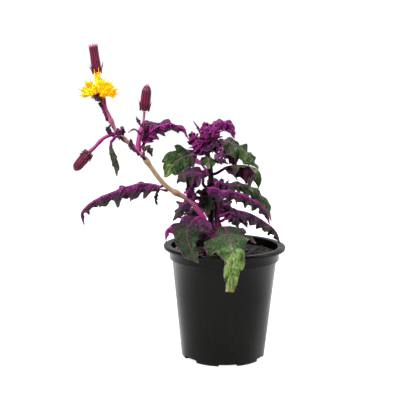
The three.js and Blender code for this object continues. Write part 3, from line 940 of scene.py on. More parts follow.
LEAVES: tuple[Leaf, ...] = (
    Leaf("leaf_upper_left", ((-70.5, -14, 184), (-68, -12, 190), (-63, -10, 196), (-56, -7, 200),
         (-46, -3, 201), (-37, 0, 198), (-31, 1, 188)), ((-0.6, -0.5, 0.6), (-0.1, -0.6, 0.8),
         (0.7, -0.6, 0.4)), (5, 12, 12, 9, 6, 4, 1), (5, 11, 10, 9, 8, 4, 1),
         fold=((-50, -40, -10, 10, 20), (55, 60, 60, 50)), curl=(60, 30), stalk=0.05, depth=0.4,
         waves=3.5, sway=22, hue=Hue.YOUNG, green_rim=0.5),
    Leaf("leaf_long_left", ((-55.5, -14.5, 150.5), (-64, -17, 153), (-80, -19, 151),
         (-96, -20, 145), (-112, -20, 137), (-121, -20, 127), (-119, -19, 117)), ((0, -0.25, 1),
         (-0.3, -0.3, 0.9), (-1, -0.2, 0.3)), (9, 13, 14, 13, 11, 8, 5, 1.5),
         (8, 12, 12, 11, 9, 6, 3, 1), fold=((50,), (20, 15, 15, 20, 30, 50)), curl=(45, 50),
         stalk=0.0, depth=0.4, ruffle=1.5, waves=5.5, sway=18, hue=Hue.YOUNG, green_rim=0.9,
         along=110, across=24),
    Leaf("leaf_narrow_left", ((-50.5, -11.5, 147), (-57, -6, 146), (-60, -4, 139), (-58, -4, 131)),
         ((-0.5, -0.4, 0.8), (-0.6, -0.8, 0.2)), (1.5, 3, 3, 2, 0.5), (1.5, 3, 2.5, 2, 0.5),
         stalk=0.3, teeth=4, depth=0.5, hue=Hue.OLIVE, along=40, across=12),
    Leaf("leaf_green_left", ((-20.5, 0, 177), (-28, -5, 177), (-37, -8, 174), (-45, -10, 168),
         (-51, -11, 157)), ((0, -0.7, 0.7), (-0.3, -0.9, 0.3), (-0.6, -0.8, 0)),
         (5, 15, 12, 11, 8, 1), (3, 8, 12, 11, 7, 1), fold=((12,), (-25,)), curl=(30, 10), teeth=3,
         depth=0.4, ruffle=1.8, waves=2.5, hue=Hue.GREEN, across=28),
    Leaf("leaf_small_front", ((-15.5, 0.5, 172.5), (-16, -7, 175), (-15, -12, 171),
         (-14, -14, 165)), ((0, -0.5, 0.8), (0, -0.9, 0.4), (0, -1, -0.2)), (4, 10, 8, 0.5),
         (4, 9, 7, 0.5), teeth=3, hue=Hue.GREEN, along=48),
    Leaf("leaf_crown_spike", ((-20.5, 3, 191), (-23, 3, 198), (-28, 3, 204)), ((0.5, -0.8, 0.5),
         (0.5, -0.8, 0.5)), (1.5, 2.5, 1.6, 0.4), fold=((45,),), teeth=3, hue=Hue.YOUNG, along=36,
         across=12),
    Leaf("leaf_crown_left", ((-19.5, -1, 180.5), (-23, -6, 186), (-27, -8, 191), (-29, -8, 196)),
         ((0.4, -0.8, 0.4), (0.4, -0.9, 0.3)), (5, 9, 9, 6, 1), (5, 8, 8, 5, 1), fold=((15,),),
         curl=(30, 30), teeth=4, depth=0.4, ruffle=1.2, sway=12, hue=Hue.YOUNG, along=56),
    Leaf("leaf_crown_right", ((-14.5, 0, 185), (-12, -3, 191), (-11, -4, 198), (-11, -3, 203)),
         ((-0.2, -0.9, 0.2), (0, -1, 0.1)), (5, 9, 8, 6, 1), (5, 9, 9, 6, 1), fold=((15,),),
         curl=(30, 30), teeth=4, depth=0.45, ruffle=1.2, sway=12, hue=Hue.YOUNG, along=56),
    Leaf("leaf_crown_top", ((-18, 4, 189), (-17, 5, 197), (-19, 5, 203)), ((0.1, -1, 0.1),
         (-0.1, -1, 0.1)), (4, 8, 6, 0.5), (4, 7, 6, 0.5), teeth=3, depth=0.5, sway=20,
         hue=Hue.YOUNG, along=48, across=16),
    Leaf("leaf_small_right", ((-11, 0.5, 168), (-8, -4, 172), (-3, -7, 173), (2, -8, 169)),
         ((0, -0.5, 0.9), (0.4, -0.5, 0.8)), (2, 3, 3, 0.5), (2, 5, 5, 1), fold=((10,), (60,)),
         teeth=4, hue=Hue.DUSKY, along=40, across=16),
    Leaf("leaf_crown_rolled", ((-15, -1, 178.5), (-15, -7, 184), (-12, -10, 186), (-7, -10, 184)),
         ((0, -0.5, 0.8), (0.3, -0.7, 0.6)), (4, 7, 6, 0.5), fold=((30,), (40,)), teeth=3, sway=20,
         hue=Hue.DUSKY, along=48),
    Leaf("leaf_top_right", ((-15.5, 6, 188.5), (-14, 9, 197), (-9, 11, 202), (-2, 13, 203),
         (5, 14, 200), (8, 13, 188)), ((-0.4, -0.7, 0.4), (0, -0.6, 0.8), (0.8, -0.5, 0.3)),
         (2, 5, 7, 8, 6, 1), (2, 6, 9, 9, 6, 1), fold=((20,), (45,)), curl=(20, 30), teeth=7,
         depth=0.3, hue=Hue.YOUNG),
    Leaf("leaf_green_right", ((-12.5, 3, 180), (-8, 0, 186), (-1, -3, 188), (8, -6, 184),
         (18, -8, 177), (28, -5, 165)), ((0, -0.5, 0.85), (0.2, -0.7, 0.7), (0.8, -0.5, 0.3)),
         (4, 8, 9, 10, 7, 1), (4, 11, 12, 11, 7, 1), fold=((10,), (20,)), curl=(20, 25), teeth=4,
         depth=0.5, ruffle=1.8, sway=14, hue=Hue.GREEN),
    Leaf("leaf_curled_right", ((-9.3, 4, 160), (1, 0, 166), (10, -6, 168), (19, -12, 168),
         (27, -15, 165), (30, -15, 157), (28, -13, 149)), ((0, -0.3, 1), (0.2, -0.4, 0.9),
         (1, -0.3, 0.2)), (3, 12, 17, 18, 18, 14, 9, 1), (2, 13, 6, 3, 4, 11, 9, 1),
         fold=((60, 70, 80, 80, 75, 50), (60, 60, 0, -20, 30, 60)), curl=(25, 40), stalk=0.15,
         teeth=4, ruffle=1.4, hue=Hue.GREEN, across=26),
    Leaf("leaf_behind_right", ((-8.5, 10, 145), (4, 18, 149), (18, 21, 146), (29, 20, 140),
         (38, 18, 131), (41, 14, 117)), ((0, -0.3, 1), (0.4, -0.6, 0.7), (0.8, -0.5, 0.2)),
         (2, 6, 8, 8, 6, 1), (2, 7, 8, 8, 6, 1), fold=((15,), (20,)), hue=Hue.GREEN),
    Leaf("leaf_long_right", ((-17.5, -8.5, 141.5), (-20, -13, 147), (-13, -17, 150), (-3, -19, 148),
         (8, -19, 147), (19, -19, 143), (30, -18, 136), (36, -16, 128), (38, -15, 119)),
         ((-0.2, -0.6, 0.7), (0, -0.4, 0.9), (0.3, -0.4, 0.8), (1, -0.3, 0.1)),
         (5, 9, 9, 8, 8, 7, 6, 4, 1), (5, 10, 10, 9, 10, 10, 8, 5, 1), fold=((30,), (50,)),
         curl=(20, 30), stalk=0.03, teeth=8, depth=0.38, ruffle=1.8, waves=6, sway=16,
         hue=Hue.YOUNG, green_rim=0.8, along=110, across=24),
    Leaf("leaf_lower_right", ((-3, -5, 125), (6, -10, 130), (20, -11, 128), (34, -8, 120),
         (44, -5, 111), (48, -3, 101)), ((0, -0.4, 1), (0.4, -0.3, 0.9), (1, -0.2, 0.2)),
         (4, 8, 8, 8, 7, 6, 2), (4, 9, 9, 9, 8, 6, 2), fold=((45,), (40,)), curl=(30, 30),
         ruffle=1.6, waves=5, sway=12, green_rim=0.5, along=96),
    Leaf("leaf_centre", ((-18, -8.5, 152), (-19, -14, 160), (-25, -19, 163), (-32, -22, 163),
         (-38, -24, 161), (-41, -24, 154)), ((0.2, -0.8, 0.6), (0, -0.8, 0.6), (-0.9, -0.5, 0.2)),
         (8, 14, 15, 14, 10, 2), (6, 10, 9, 8, 6, 1.5), fold=((5,), (20,)), curl=(25, 30), teeth=4,
         depth=0.35, ruffle=1.8, sway=12, hue=Hue.DUSKY, across=28),
    Leaf("leaf_centre_ruffled", ((-20, -12.5, 138.5), (-26, -16, 143), (-31, -19, 148),
         (-35, -20, 145)), ((0.3, -0.7, 0.6), (-0.5, -0.8, 0.3)), (2, 5, 6, 4, 1), (2, 5, 5, 4, 1),
         teeth=4, ruffle=1.8, hue=Hue.YOUNG, along=48, across=16),
    Leaf("leaf_dark_band", ((-13, -2.5, 151), (-6, -3, 153), (3, -2, 150), (12, 0, 150)),
         ((0, -0.6, 0.8), (0.2, -0.7, 0.7)), (4, 7, 7, 6, 1), (4, 8, 9, 7, 1), fold=((20,), (30,)),
         teeth=4, sway=15, hue=Hue.DUSKY, along=56),
    Leaf("leaf_front_left", ((-19, -16.8, 123.5), (-21.5, -22, 126), (-27, -30, 124),
         (-31, -38, 119), (-31, -46, 111), (-27, -52, 102), (-22, -56, 94)), ((0.1, -0.2, 1),
         (-0.2, -0.6, 0.8), (-0.2, -0.9, 0.2)), (14, 25, 22, 15, 8, 5, 1),
         (10, 20, 19, 15, 12, 8, 1), fold=((12,),), curl=(30, 25), stalk=0.06, teeth=4, depth=0.18,
         ruffle=2.4, hue=Hue.FRONT_LEFT, along=96, across=44),
    Leaf("leaf_front_right", ((-3.5, -6, 114), (-1, -16, 117), (1, -32, 115), (4, -48, 109),
         (6, -59, 100), (5, -61, 89), (4, -60, 71)), ((0, -0.2, 1), (0, -0.5, 0.85), (0, -1, 0.2)),
         (6, 16, 23, 23, 12, 11, 10, 6, 4.5), (6, 18, 27, 25, 20, 10, 8, 6, 4.5), fold=((5,),
         (10,)), curl=(20, 25), stalk=0.06, teeth=5, depth=0.2, ruffle=2.6, hue=Hue.FRONT_RIGHT,
         scorch=0.03, blunt=3.8, along=120, across=48),
    Leaf("leaf_rim_left", ((-20, -13, 112), (-31, -15, 117), (-42, -18, 118), (-50, -20, 113),
         (-50, -22, 104)), ((0, -0.5, 0.8), (-0.3, -0.6, 0.7), (-1, -0.4, 0)), (2, 5, 6, 5, 1),
         fold=((30,),), curl=(40, 40), teeth=4, hue=Hue.YOUNG, along=60, across=16),
    Leaf("leaf_dark_left", ((-25, -8.5, 132.5), (-32, -6, 137), (-39, -5, 132), (-45, -4, 119)),
         ((-0.3, -0.5, 0.8), (-0.8, -0.5, 0.2)), (2, 7, 8, 7, 1), (2, 6, 7, 6, 1), fold=((30,),),
         curl=(30, 30), hue=Hue.DUSKY, along=60, across=16),
    Leaf("leaf_dark_middle", ((-4, 1.5, 124), (-2, 5, 131), (3, 8, 132), (6, 10, 121)),
         ((-0.3, -0.8, 0.6), (0.7, -0.6, 0.3)), (3, 8, 9, 6, 1), hue=Hue.DUSKY, along=56),
    Leaf("bract_hanging", ((-92.5, -23.5, 192), (-95, -26, 188), (-94, -27, 179), (-91, -26, 169),
         (-90, -25, 159)), ((-0.3, -0.6, 0.7), (0, -1, 0.1), (0, -1, 0)),
         (1, 2, 3.2, 3.4, 2.6, 0.4), (1, 2, 3.2, 3.6, 2.6, 0.4), fold=((15,),), curl=(15, 15),
         stalk=0.12, teeth=3, depth=0.35, ruffle=0.5, hue=Hue.OLIVE, along=60, across=12),
    Leaf("bract_upper", ((-87.5, -17.2, 196), (-86, -15, 199), (-85, -14, 195), (-89, -14, 188)),
         ((0.5, -0.6, 0.7), (0.6, -0.7, -0.1)), (2, 3, 2.6, 0.5), fold=((30,),), teeth=3,
         hue=Hue.DUSKY, along=36, across=12),
    Leaf("bract_lower", ((-69, -22, 178), (-66.5, -23, 183), (-62, -22, 182), (-61, -21, 175)),
         ((0.2, -0.7, 0.7), (0.8, -0.6, 0.1)), (2, 4.5, 4, 0.5), teeth=3, ruffle=1.3, hue=Hue.OLIVE,
         along=40, across=14),
    Leaf("leaf_back_middle", ((-12.5, 12, 143), (-11, 30, 152), (-8, 54, 144), (-6, 68, 126),
         (-6, 73, 107)), ((0, 0.2, 1), (0, 0.6, 0.8), (0, 1, 0.2)), (3, 8, 10, 9, 6, 1),
         hue=Hue.GREEN),
    Leaf("leaf_back_left", ((-14, 12, 121), (-21, 28, 128), (-29, 45, 120), (-33, 56, 103)),
         ((-0.1, 0.1, 1), (-0.2, 0.5, 0.8), (-0.4, 0.9, 0.2)), (3, 10, 12, 10, 6, 1), hue=Hue.GREEN,
         along=84, across=28),
    Leaf("leaf_back_right", ((-9, 12, 117), (3, 27, 126), (14, 42, 120), (22, 53, 104)),
         ((0.1, 0.1, 1), (0.3, 0.5, 0.8), (0.5, 0.9, 0.2)), (3, 9, 11, 9, 6, 1), hue=Hue.GREEN,
         along=84, across=28),
    Leaf("leaf_back_upper_right", ((-11.5, 10, 167), (-3, 28, 177), (6, 43, 172), (10, 52, 157)),
         ((0.1, 0.1, 1), (0.2, 0.5, 0.8), (0.4, 0.9, 0.2)), (3, 7, 9, 8, 5, 1)),
    Leaf("leaf_back_upper_left", ((-15, 10.5, 161), (-26, 27, 170), (-37, 41, 163), (-42, 48, 147)),
         ((-0.1, 0.1, 1), (-0.3, 0.5, 0.8), (-0.5, 0.9, 0.2)), (3, 7, 9, 8, 5, 1)),
    Leaf("leaf_crown_left", ((-15, -3, 181), (-17, -9, 190), (-19, -11, 199)), ((0, -0.9, 0.4),
         (0, -1, 0.2)), (4, 8, 6, 1), (4, 7, 6, 1), fold=((20,),), teeth=3, depth=0.3, ruffle=0.6,
         sway=6, hue=Hue.YOUNG, along=48, across=16, piece="crown_heart_middle"),
    Leaf("leaf_crown_left", ((-14, -2, 182), (-12, -7, 191), (-9, -9, 199)), ((0, -0.9, 0.4),
         (0.1, -1, 0.2)), (4, 7, 6, 1), teeth=3, depth=0.3, ruffle=0.6, sway=6, hue=Hue.YOUNG,
         along=48, across=16, piece="crown_heart_right"),
    Leaf("leaf_crown_left", ((-17, -4, 178), (-21, -9, 182), (-26, -11, 188)), ((0.2, -0.9, 0.4),
         (0.4, -0.9, 0.3)), (4, 8, 7, 1), (4, 7, 5, 1), fold=((10,), (25,)), teeth=3, depth=0.4,
         sway=18, hue=Hue.YOUNG, along=48, across=16, piece="crown_heart_left"),
    Leaf("leaf_crown_left", ((-14, -3, 179), (-8, -8, 183), (-2, -9, 181)), ((0, -0.8, 0.6),
         (0.3, -0.9, 0.4)), (3, 6, 5, 1), (3, 7, 6, 1), fold=((20,),), teeth=3, depth=0.4, sway=18,
         along=48, across=16, piece="crown_heart_low"),
    Leaf("leaf_dark_left", ((-14, 2, 141), (-16, -6, 143), (-15, -10, 136), (-14, -11, 126)),
         ((0, -0.5, 0.9), (0, -1, 0.1)), (3, 9, 9, 7, 1), (3, 9, 10, 8, 1), teeth=3, hue=Hue.OLIVE,
         along=48, across=16, piece="leaf_shaded_fold"),
    Leaf("leaf_dark_left", ((-22, -10, 134), (-30, -14, 138), (-37, -15, 134), (-42, -14, 122)),
         ((-0.2, -0.6, 0.8), (-0.6, -0.8, 0.2)), (4, 9, 9, 6, 1), teeth=4, sway=18, hue=Hue.DUSKY,
         along=60, piece="leaf_shaded_left"),
    Leaf("leaf_dark_middle", ((-3, -2, 120), (4, -8, 126), (9, -10, 122), (12, -10, 114)),
         ((0, -0.6, 0.8), (0.5, -0.8, 0.2)), (3, 7, 7, 5, 1), teeth=4, hue=Hue.DUSKY, along=56,
         piece="leaf_shaded_right"),
    Leaf("bract_lower", ((-72, -20, 178), (-77, -21.5, 183), (-79, -22, 190)), ((0.5, -0.8, 0.4),
         (0.6, -0.8, -0.2)), (1.5, 3.5, 3.5, 1), (1.5, 3, 3, 1), fold=((40,), (20,)), teeth=2,
         hue=Hue.DUSKY, along=36, across=12, piece="bract_node_loop"),
    Leaf("bract_upper", ((-92, -22, 193), (-96, -24, 197), (-95, -24, 202)), ((0.6, -0.8, 0.2),
         (0.8, -0.6, -0.2)), (1.5, 3.5, 3, 0.5), fold=((30,),), teeth=2, hue=Hue.DUSKY, along=36,
         across=12, piece="bract_fork_left"),
    Leaf("bract_upper", ((-90, -23, 193), (-89, -26, 197), (-88.5, -26, 190)), ((0, -1, 0.4),
         (0, -1, -0.1)), (1.5, 3.2, 3, 0.5), fold=((30,),), teeth=2, hue=Hue.DUSKY, along=36,
         across=12, piece="bract_fork_front"),
    Leaf("bract_upper", ((-98, -22.8, 206), (-100.5, -25, 211), (-103, -25, 217)), ((0, -1, 0.2),
         (0, -1, 0)), (1, 2.2, 1.8, 0.4), fold=((50,),), teeth=2, hue=Hue.YOUNG, along=30,
         across=10, piece="bract_sheath"),
    Leaf("bract_upper", ((-72, -18.5, 196), (-77, -20, 198.5), (-81.5, -20, 195)), ((0, -0.6, 0.8),
         (-0.4, -0.7, 0.6)), (1, 1.8, 1.4, 0.3), fold=((40,),), teeth=2, hue=Hue.YOUNG, along=30,
         across=10, piece="bract_branch_low"),
    Leaf("bract_upper", ((-71, -17, 200), (-73.5, -18, 204), (-75, -19, 208)), ((-0.6, -0.8, 0.2),
         (-0.6, -0.8, 0)), (1, 2.4, 1.8, 0.3), fold=((20,),), teeth=2, hue=Hue.DUSKY, along=30,
         across=10, piece="bract_branch_high"),
)


# ---- stems -----------------------------------------------------------------------------------
@dataclass
class Stems:
    """The two leafy stems and the leaning flower stalk with its three bud branches."""

    def build(self) -> None:
        """Builds every stem."""
        # main stem near black: its maroon darkened by painted shade
        dark = HairyStem("stem_hairy_maroon_painted_shade", "#080307", "#1c0812", "#0c040a", "#2a0d1e")
        pale = HairyStem("flower_stalk_hairy_olive", "#96306e", "#b01c8c", "#9fa350", "#b0708a")
        self._stem("main_stem", "stem", dark.material(), [Tube(
            MAIN_STEM, radii=(2.9, 2.7, 2.5, 2.3, 2.0), joints=(0.35, 0.6, 0.8, 0.95))])
        wine = HairyStem("stem_hairy_wine", "#2c0a20", "#6a1648", "#14060e", "#3a1228")
        self._stem("second_stem", "stem", wine.material(), [Tube(
            SECOND_STEM, radii=(2.5, 2.4, 2.2, 1.8), joints=(0.4, 0.85))])
        self._stem("flowering_stem", "flower_stalk", pale.material(), [
            Tube(FLOWER_STALK, radii=(2.6, 2.5, 2.2, 2.0, 1.9, 1.8, 1.6, 1.6, 2.3),
                 joints=(0.4, 0.62, 0.78, 0.89),
                 tones=(0.0, 0.0, 0.2, 1.0, 1.0, 0.8, 0.5, 0.1), along=150),
            Tube(LOW_BRANCH, radii=(1.6, 1.4, 1.2, 1.7), joints=(0.6,),
                 tones=(0.0, 0.1), along=40),
            Tube(MIDDLE_BRANCH, radii=(2.1, 2.0, 1.8, 0.9, 1.1), joints=(0.55,),
                 tones=(0.0, 0.3), along=44),
            Tube(TOP_BRANCH, radii=(1.5, 1.3, 1.2, 1.5), tones=(0.1, 0.1), along=40),
        ])

    @staticmethod
    def _stem(node: str, slot: str, finish: bpy.types.Material, tubes: list[Tube]) -> None:
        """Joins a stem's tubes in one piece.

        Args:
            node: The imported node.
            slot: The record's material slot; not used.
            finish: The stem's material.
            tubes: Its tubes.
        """
        mesh = bmesh.new()
        layers = {name: mesh.verts.layers.float.new(name) for name in ("tone", "ridge")}
        for tube in tubes:
            tube.add_to(mesh, layers)
        finish_piece(mesh, node, [finish], (node,), 70.0)


# ---- flowers ---------------------------------------------------------------------------------
@dataclass
class FlowerHeads:
    """Open flower head, and the three closed buds with their ring of thread-like bracts."""

    bract_count: int = 12
    arms: int = 18
    florets_per_arm: int = 6
    arm_leans: tuple[float, float] = (22, 100)  # degrees from upright, inmost to outmost
    floret_lengths: tuple[float, float] = (14.5, 11.5)
    tuft: int = 9
    tuft_heights: tuple[float, float] = (11.0, 19.5)
    bud_threads: int = 16
    bud_thread_length: float = 9.0
    cup_threads: int = 10
    cup_thread_length: float = 6.5
    sharp_deg: float = 60.0

    def build(self) -> None:
        """Builds the open head and the buds."""
        bract = BudBract().material()
        floret = FloretTube().material()
        self._bud("top_bud", bract, (-108.2, -4.9, 242.2), (-112, -3, 267), 3.9, open_tip=True)
        self._bud("left_bud", bract, (-112.5, -25.1, 179.3), (-125, -27, 164), 4.2)
        self._bud("right_bud", bract, (-68.4, -13, 212.3), (-66, -12, 235), 4.1, pointed=0.5)
        self._cup(bract)
        self._florets(floret)

    @staticmethod
    def _new_mesh() -> tuple[bmesh.types.BMesh, dict]:
        """Empty mesh and its attribute layers."""
        mesh = bmesh.new()
        return mesh, {name: mesh.verts.layers.float.new(name)
                      for name in ("ridge", "tip", "tone")}

    @staticmethod
    def _aim(start: Point, end: Point) -> Matrix:
        """Matrix that carries a shape standing on +Z to start, pointing at end."""
        way = Vector(end) - Vector(start)
        turn = way.to_track_quat("Z", "Y").to_matrix().to_4x4()
        return Matrix.Translation(Vector(start) * MM) @ turn

    def _shell(self, mesh: bmesh.types.BMesh, layers: dict, radius: float, length: float,
               shape: tuple[float, ...], ragged: float, matrix: Matrix) -> None:
        """Adds a ribbed bract sleeve whose upper rim is cut into points.

        Args:
            mesh: The bud's mesh.
            layers: Its attribute layers "ridge" and "tip".
            radius: Greatest radius, millimetres.
            length: Length of the sleeve.
            shape: Radius from foot to tip, share of the greatest.
            ragged: Depth of the cuts between the points.
            matrix: Carries the sleeve to its place.
        """
        made = bmesh.ops.create_grid(mesh, x_segments=40, y_segments=self.bract_count * 8,
                                     size=1.0, matrix=Matrix.Identity(4), calc_uvs=False)
        for vert in made["verts"]:
            t, turn = 0.5 * (vert.co.x + 1), math.pi * (vert.co.y + 1)
            rib = abs(math.cos(0.5 * self.bract_count * turn))
            point_up = ragged * (1 - rib) * clamp((t - 0.85) / 0.15)
            out = radius * profile_at(shape, t) * (0.93 + 0.09 * rib ** 0.6)
            vert[layers["ridge"]] = clamp(rib * 1.2 - 0.1)
            vert[layers["tip"]] = clamp((t - 0.8) / 0.2)
            vert.co = matrix @ Vector((out * math.cos(turn) * MM, out * math.sin(turn) * MM,
                                       (t * length - point_up) * MM))
        close_ends(mesh, made["verts"])

    def _threads(self, mesh: bmesh.types.BMesh, layers: dict, radius: float, matrix: Matrix,
                 count: int, length: float, seed: int) -> None:
        """Adds the ring of thin curved outer bracts at the foot of a head.

        Args:
            mesh: The head's mesh.
            layers: Its attribute layers.
            radius: Radius of the ring, millimetres.
            matrix: Carries the ring to its place.
            count: Number of bracts.
            length: Their length.
            seed: Seed of their scatter.
        """
        dice = random.Random(seed)
        for n in range(count):
            turn = FULL_TURN * (n + dice.uniform(-0.3, 0.3)) / count
            flare = dice.uniform(0.2, 1.0)
            reach = length * dice.uniform(0.6, 1.1)
            way = Vector((math.cos(turn), math.sin(turn), 0))
            knots = tuple(tuple(way * (radius * 0.8 + flare * reach * 0.5 * s ** 1.6)
                                + Vector((0, 0, 0.3 + reach * s))) for s in (0, 0.35, 0.7, 1))
            thread = Tube(knots, ((-way.y, way.x, 0.01), (-way.y, way.x, 0.01)),
                          (0.34, 0.3, 0.08), ridges=2, along=8, around=6)
            before = set(mesh.verts)
            thread.add_to(mesh, layers)
            fresh = [vert for vert in mesh.verts if vert not in before]
            for vert in fresh:
                vert[layers["tip"]] = 0.2
            bmesh.ops.transform(mesh, matrix=matrix, verts=fresh)

    def _bud(self, node: str, finish: bpy.types.Material, start: Point, end: Point,
             radius: float, open_tip: bool = False, pointed: float = 0.62) -> None:
        """Builds one closed bud.

        Args:
            node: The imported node.
            finish: Bract material.
            start: Foot of the bud, millimetres.
            end: Tip of the bud.
            radius: Greatest radius.
            open_tip: Whether the bracts have begun to part at the tip.
            pointed: Radius at the tip, share of the greatest.
        """
        length = (Vector(end) - Vector(start)).length
        matrix = self._aim(start, end)
        mesh, layers = self._new_mesh()
        shape = ((0.45, 0.95, 1.0, 1.0, 0.97, 0.94, 0.95, 0.97, 1.0) if open_tip else
                 (0.4, 0.93, 1.02, 1.02, 1.0, 0.98, 0.93, pointed + 0.15, pointed * 0.45))
        self._shell(mesh, layers, radius, length, shape, 2.4 if open_tip else 0.6, matrix)
        if open_tip:
            self._shell(mesh, layers, radius * 0.78, length * 0.97, (0.5, 0.95, 1, 1, 1, 0.9),
                        2.0, matrix @ Matrix.Rotation(0.26, 4, "Z"))
        self._threads(mesh, layers, radius * 1.2, matrix, self.bud_threads,
                      self.bud_thread_length, len(node))
        finish_piece(mesh, node, [finish], (node,),
                     self.sharp_deg)

    def _cup(self, finish: bpy.types.Material) -> None:
        """Builds the green-red cup under the open head, with reflexed bract tips.

        Args:
            finish: Bract material.
        """
        start, end = (-104.4, -22.1, 220.6), (-105.5, -23, 232)
        matrix = self._aim(start, end)
        mesh, layers = self._new_mesh()
        self._shell(mesh, layers, 5.2, 8.0, (0.42, 0.7, 0.92, 1.0, 0.98, 0.95), 1.5, matrix)
        self._threads(mesh, layers, 4.0, matrix, self.cup_threads, self.cup_thread_length, 5)
        finish_piece(mesh, "flower_cup", [finish], ("flower_cup",),
                     self.sharp_deg)

    def _florets(self, finish: bpy.types.Material) -> None:
        """Builds the spray of tubular florets, spread wide with an upright tuft.

        Args:
            finish: Floret material.
        """
        matrix = self._aim((-104.9, -22.6, 226), (-106.2, -23.5, 244))
        mesh, layers = self._new_mesh()
        dice = random.Random(7)
        golden = math.pi * (3 - math.sqrt(5))
        for arm in range(self.arms):
            share = (arm + 0.5) / self.arms
            arm_lean, arm_turn = lerp(*self.arm_leans, share ** 0.8), arm * golden
            for _ in range(self.florets_per_arm):
                lean = math.radians(arm_lean + dice.uniform(-9, 9))
                turn = arm_turn + dice.uniform(-0.22, 0.22) / max(math.sin(lean), 0.4)
                length = lerp(*self.floret_lengths, share) * dice.uniform(0.72, 1.08)
                way = Vector((math.sin(lean) * math.cos(turn), math.sin(lean) * math.sin(turn),
                              math.cos(lean)))
                foot = Vector((math.cos(turn), math.sin(turn), 0)) * 3.0 * math.sqrt(share)
                self._floret(mesh, layers, foot, foot + way * length, matrix, dice)
        for n in range(self.tuft):
            turn = n * golden
            foot = Vector((math.cos(turn), math.sin(turn), 0)) * 0.6
            tip = foot * 3.2 + Vector((0, 0, lerp(*self.tuft_heights, n / (self.tuft - 1))))
            self._floret(mesh, layers, foot, tip, matrix, dice)
        finish_piece(mesh, "flower_florets", [finish], ("flower_florets",),
                     self.sharp_deg)

    @staticmethod
    def _floret(mesh: bmesh.types.BMesh, layers: dict, foot: Vector, tip: Vector,
                matrix: Matrix, dice: random.Random) -> None:
        """Adds one floret: a tube that flares into five lobes, and its style.

        Args:
            mesh: The head's mesh.
            layers: Its attribute layers.
            foot: Foot of the floret in the head's own frame, millimetres.
            tip: Its tip.
            matrix: Carries the head to its place.
            dice: Source of the turn about its own axis.
        """
        way = tip - foot
        frame = matrix @ Matrix.Translation(foot * MM) @ way.to_track_quat(
            "Z", "Y").to_matrix().to_4x4() @ Matrix.Rotation(dice.uniform(0, 6), 4, "Z")
        length = way.length
        rings = ((0.0, 0.4), (0.5, 0.5), (0.74, 0.95), (0.9, 1.25))
        made = bmesh.ops.create_circle(mesh, cap_ends=True, segments=10, radius=0.4 * MM)
        ring = made["verts"]
        for vert in ring:
            vert[layers["tip"]] = 0.0
        edges = list({edge for vert in ring for edge in vert.link_edges})
        total = list(ring)
        previous = 0.4
        for height, radius in rings[1:]:
            grown = bmesh.ops.extrude_edge_only(mesh, edges=edges)["geom"]
            ring = [item for item in grown if isinstance(item, bmesh.types.BMVert)]
            edges = [edge for edge in grown if isinstance(edge, bmesh.types.BMEdge)
                     and all(vert in ring for vert in edge.verts)]
            scale = radius / previous
            previous = radius
            for vert in ring:
                vert.co.x *= scale
                vert.co.y *= scale
                vert.co.z = height * length * MM
                vert[layers["tip"]] = height
            total += ring
        grown = bmesh.ops.extrude_edge_only(mesh, edges=edges)["geom"]
        lobes = [item for item in grown if isinstance(item, bmesh.types.BMVert)]
        lobes.sort(key=lambda vert: math.atan2(vert.co.y, vert.co.x))
        for n, vert in enumerate(lobes):
            out = 2.1 if n % 2 else 1.02
            vert.co.x *= out
            vert.co.y *= out
            vert.co.z += (0.3 if n % 2 else 0.05) * MM
            vert[layers["tip"]] = 1.0
        total += lobes
        style = bmesh.ops.create_cone(mesh, cap_ends=True, segments=6, radius1=0.34 * MM,
                                      radius2=0.22 * MM, depth=length * 0.34 * MM,
                                      matrix=Matrix.Translation((0, 0, length * 0.95 * MM)))
        for vert in style["verts"]:
            vert[layers["tip"]] = 0.95
        total += style["verts"]
        bmesh.ops.transform(mesh, matrix=frame, verts=total)


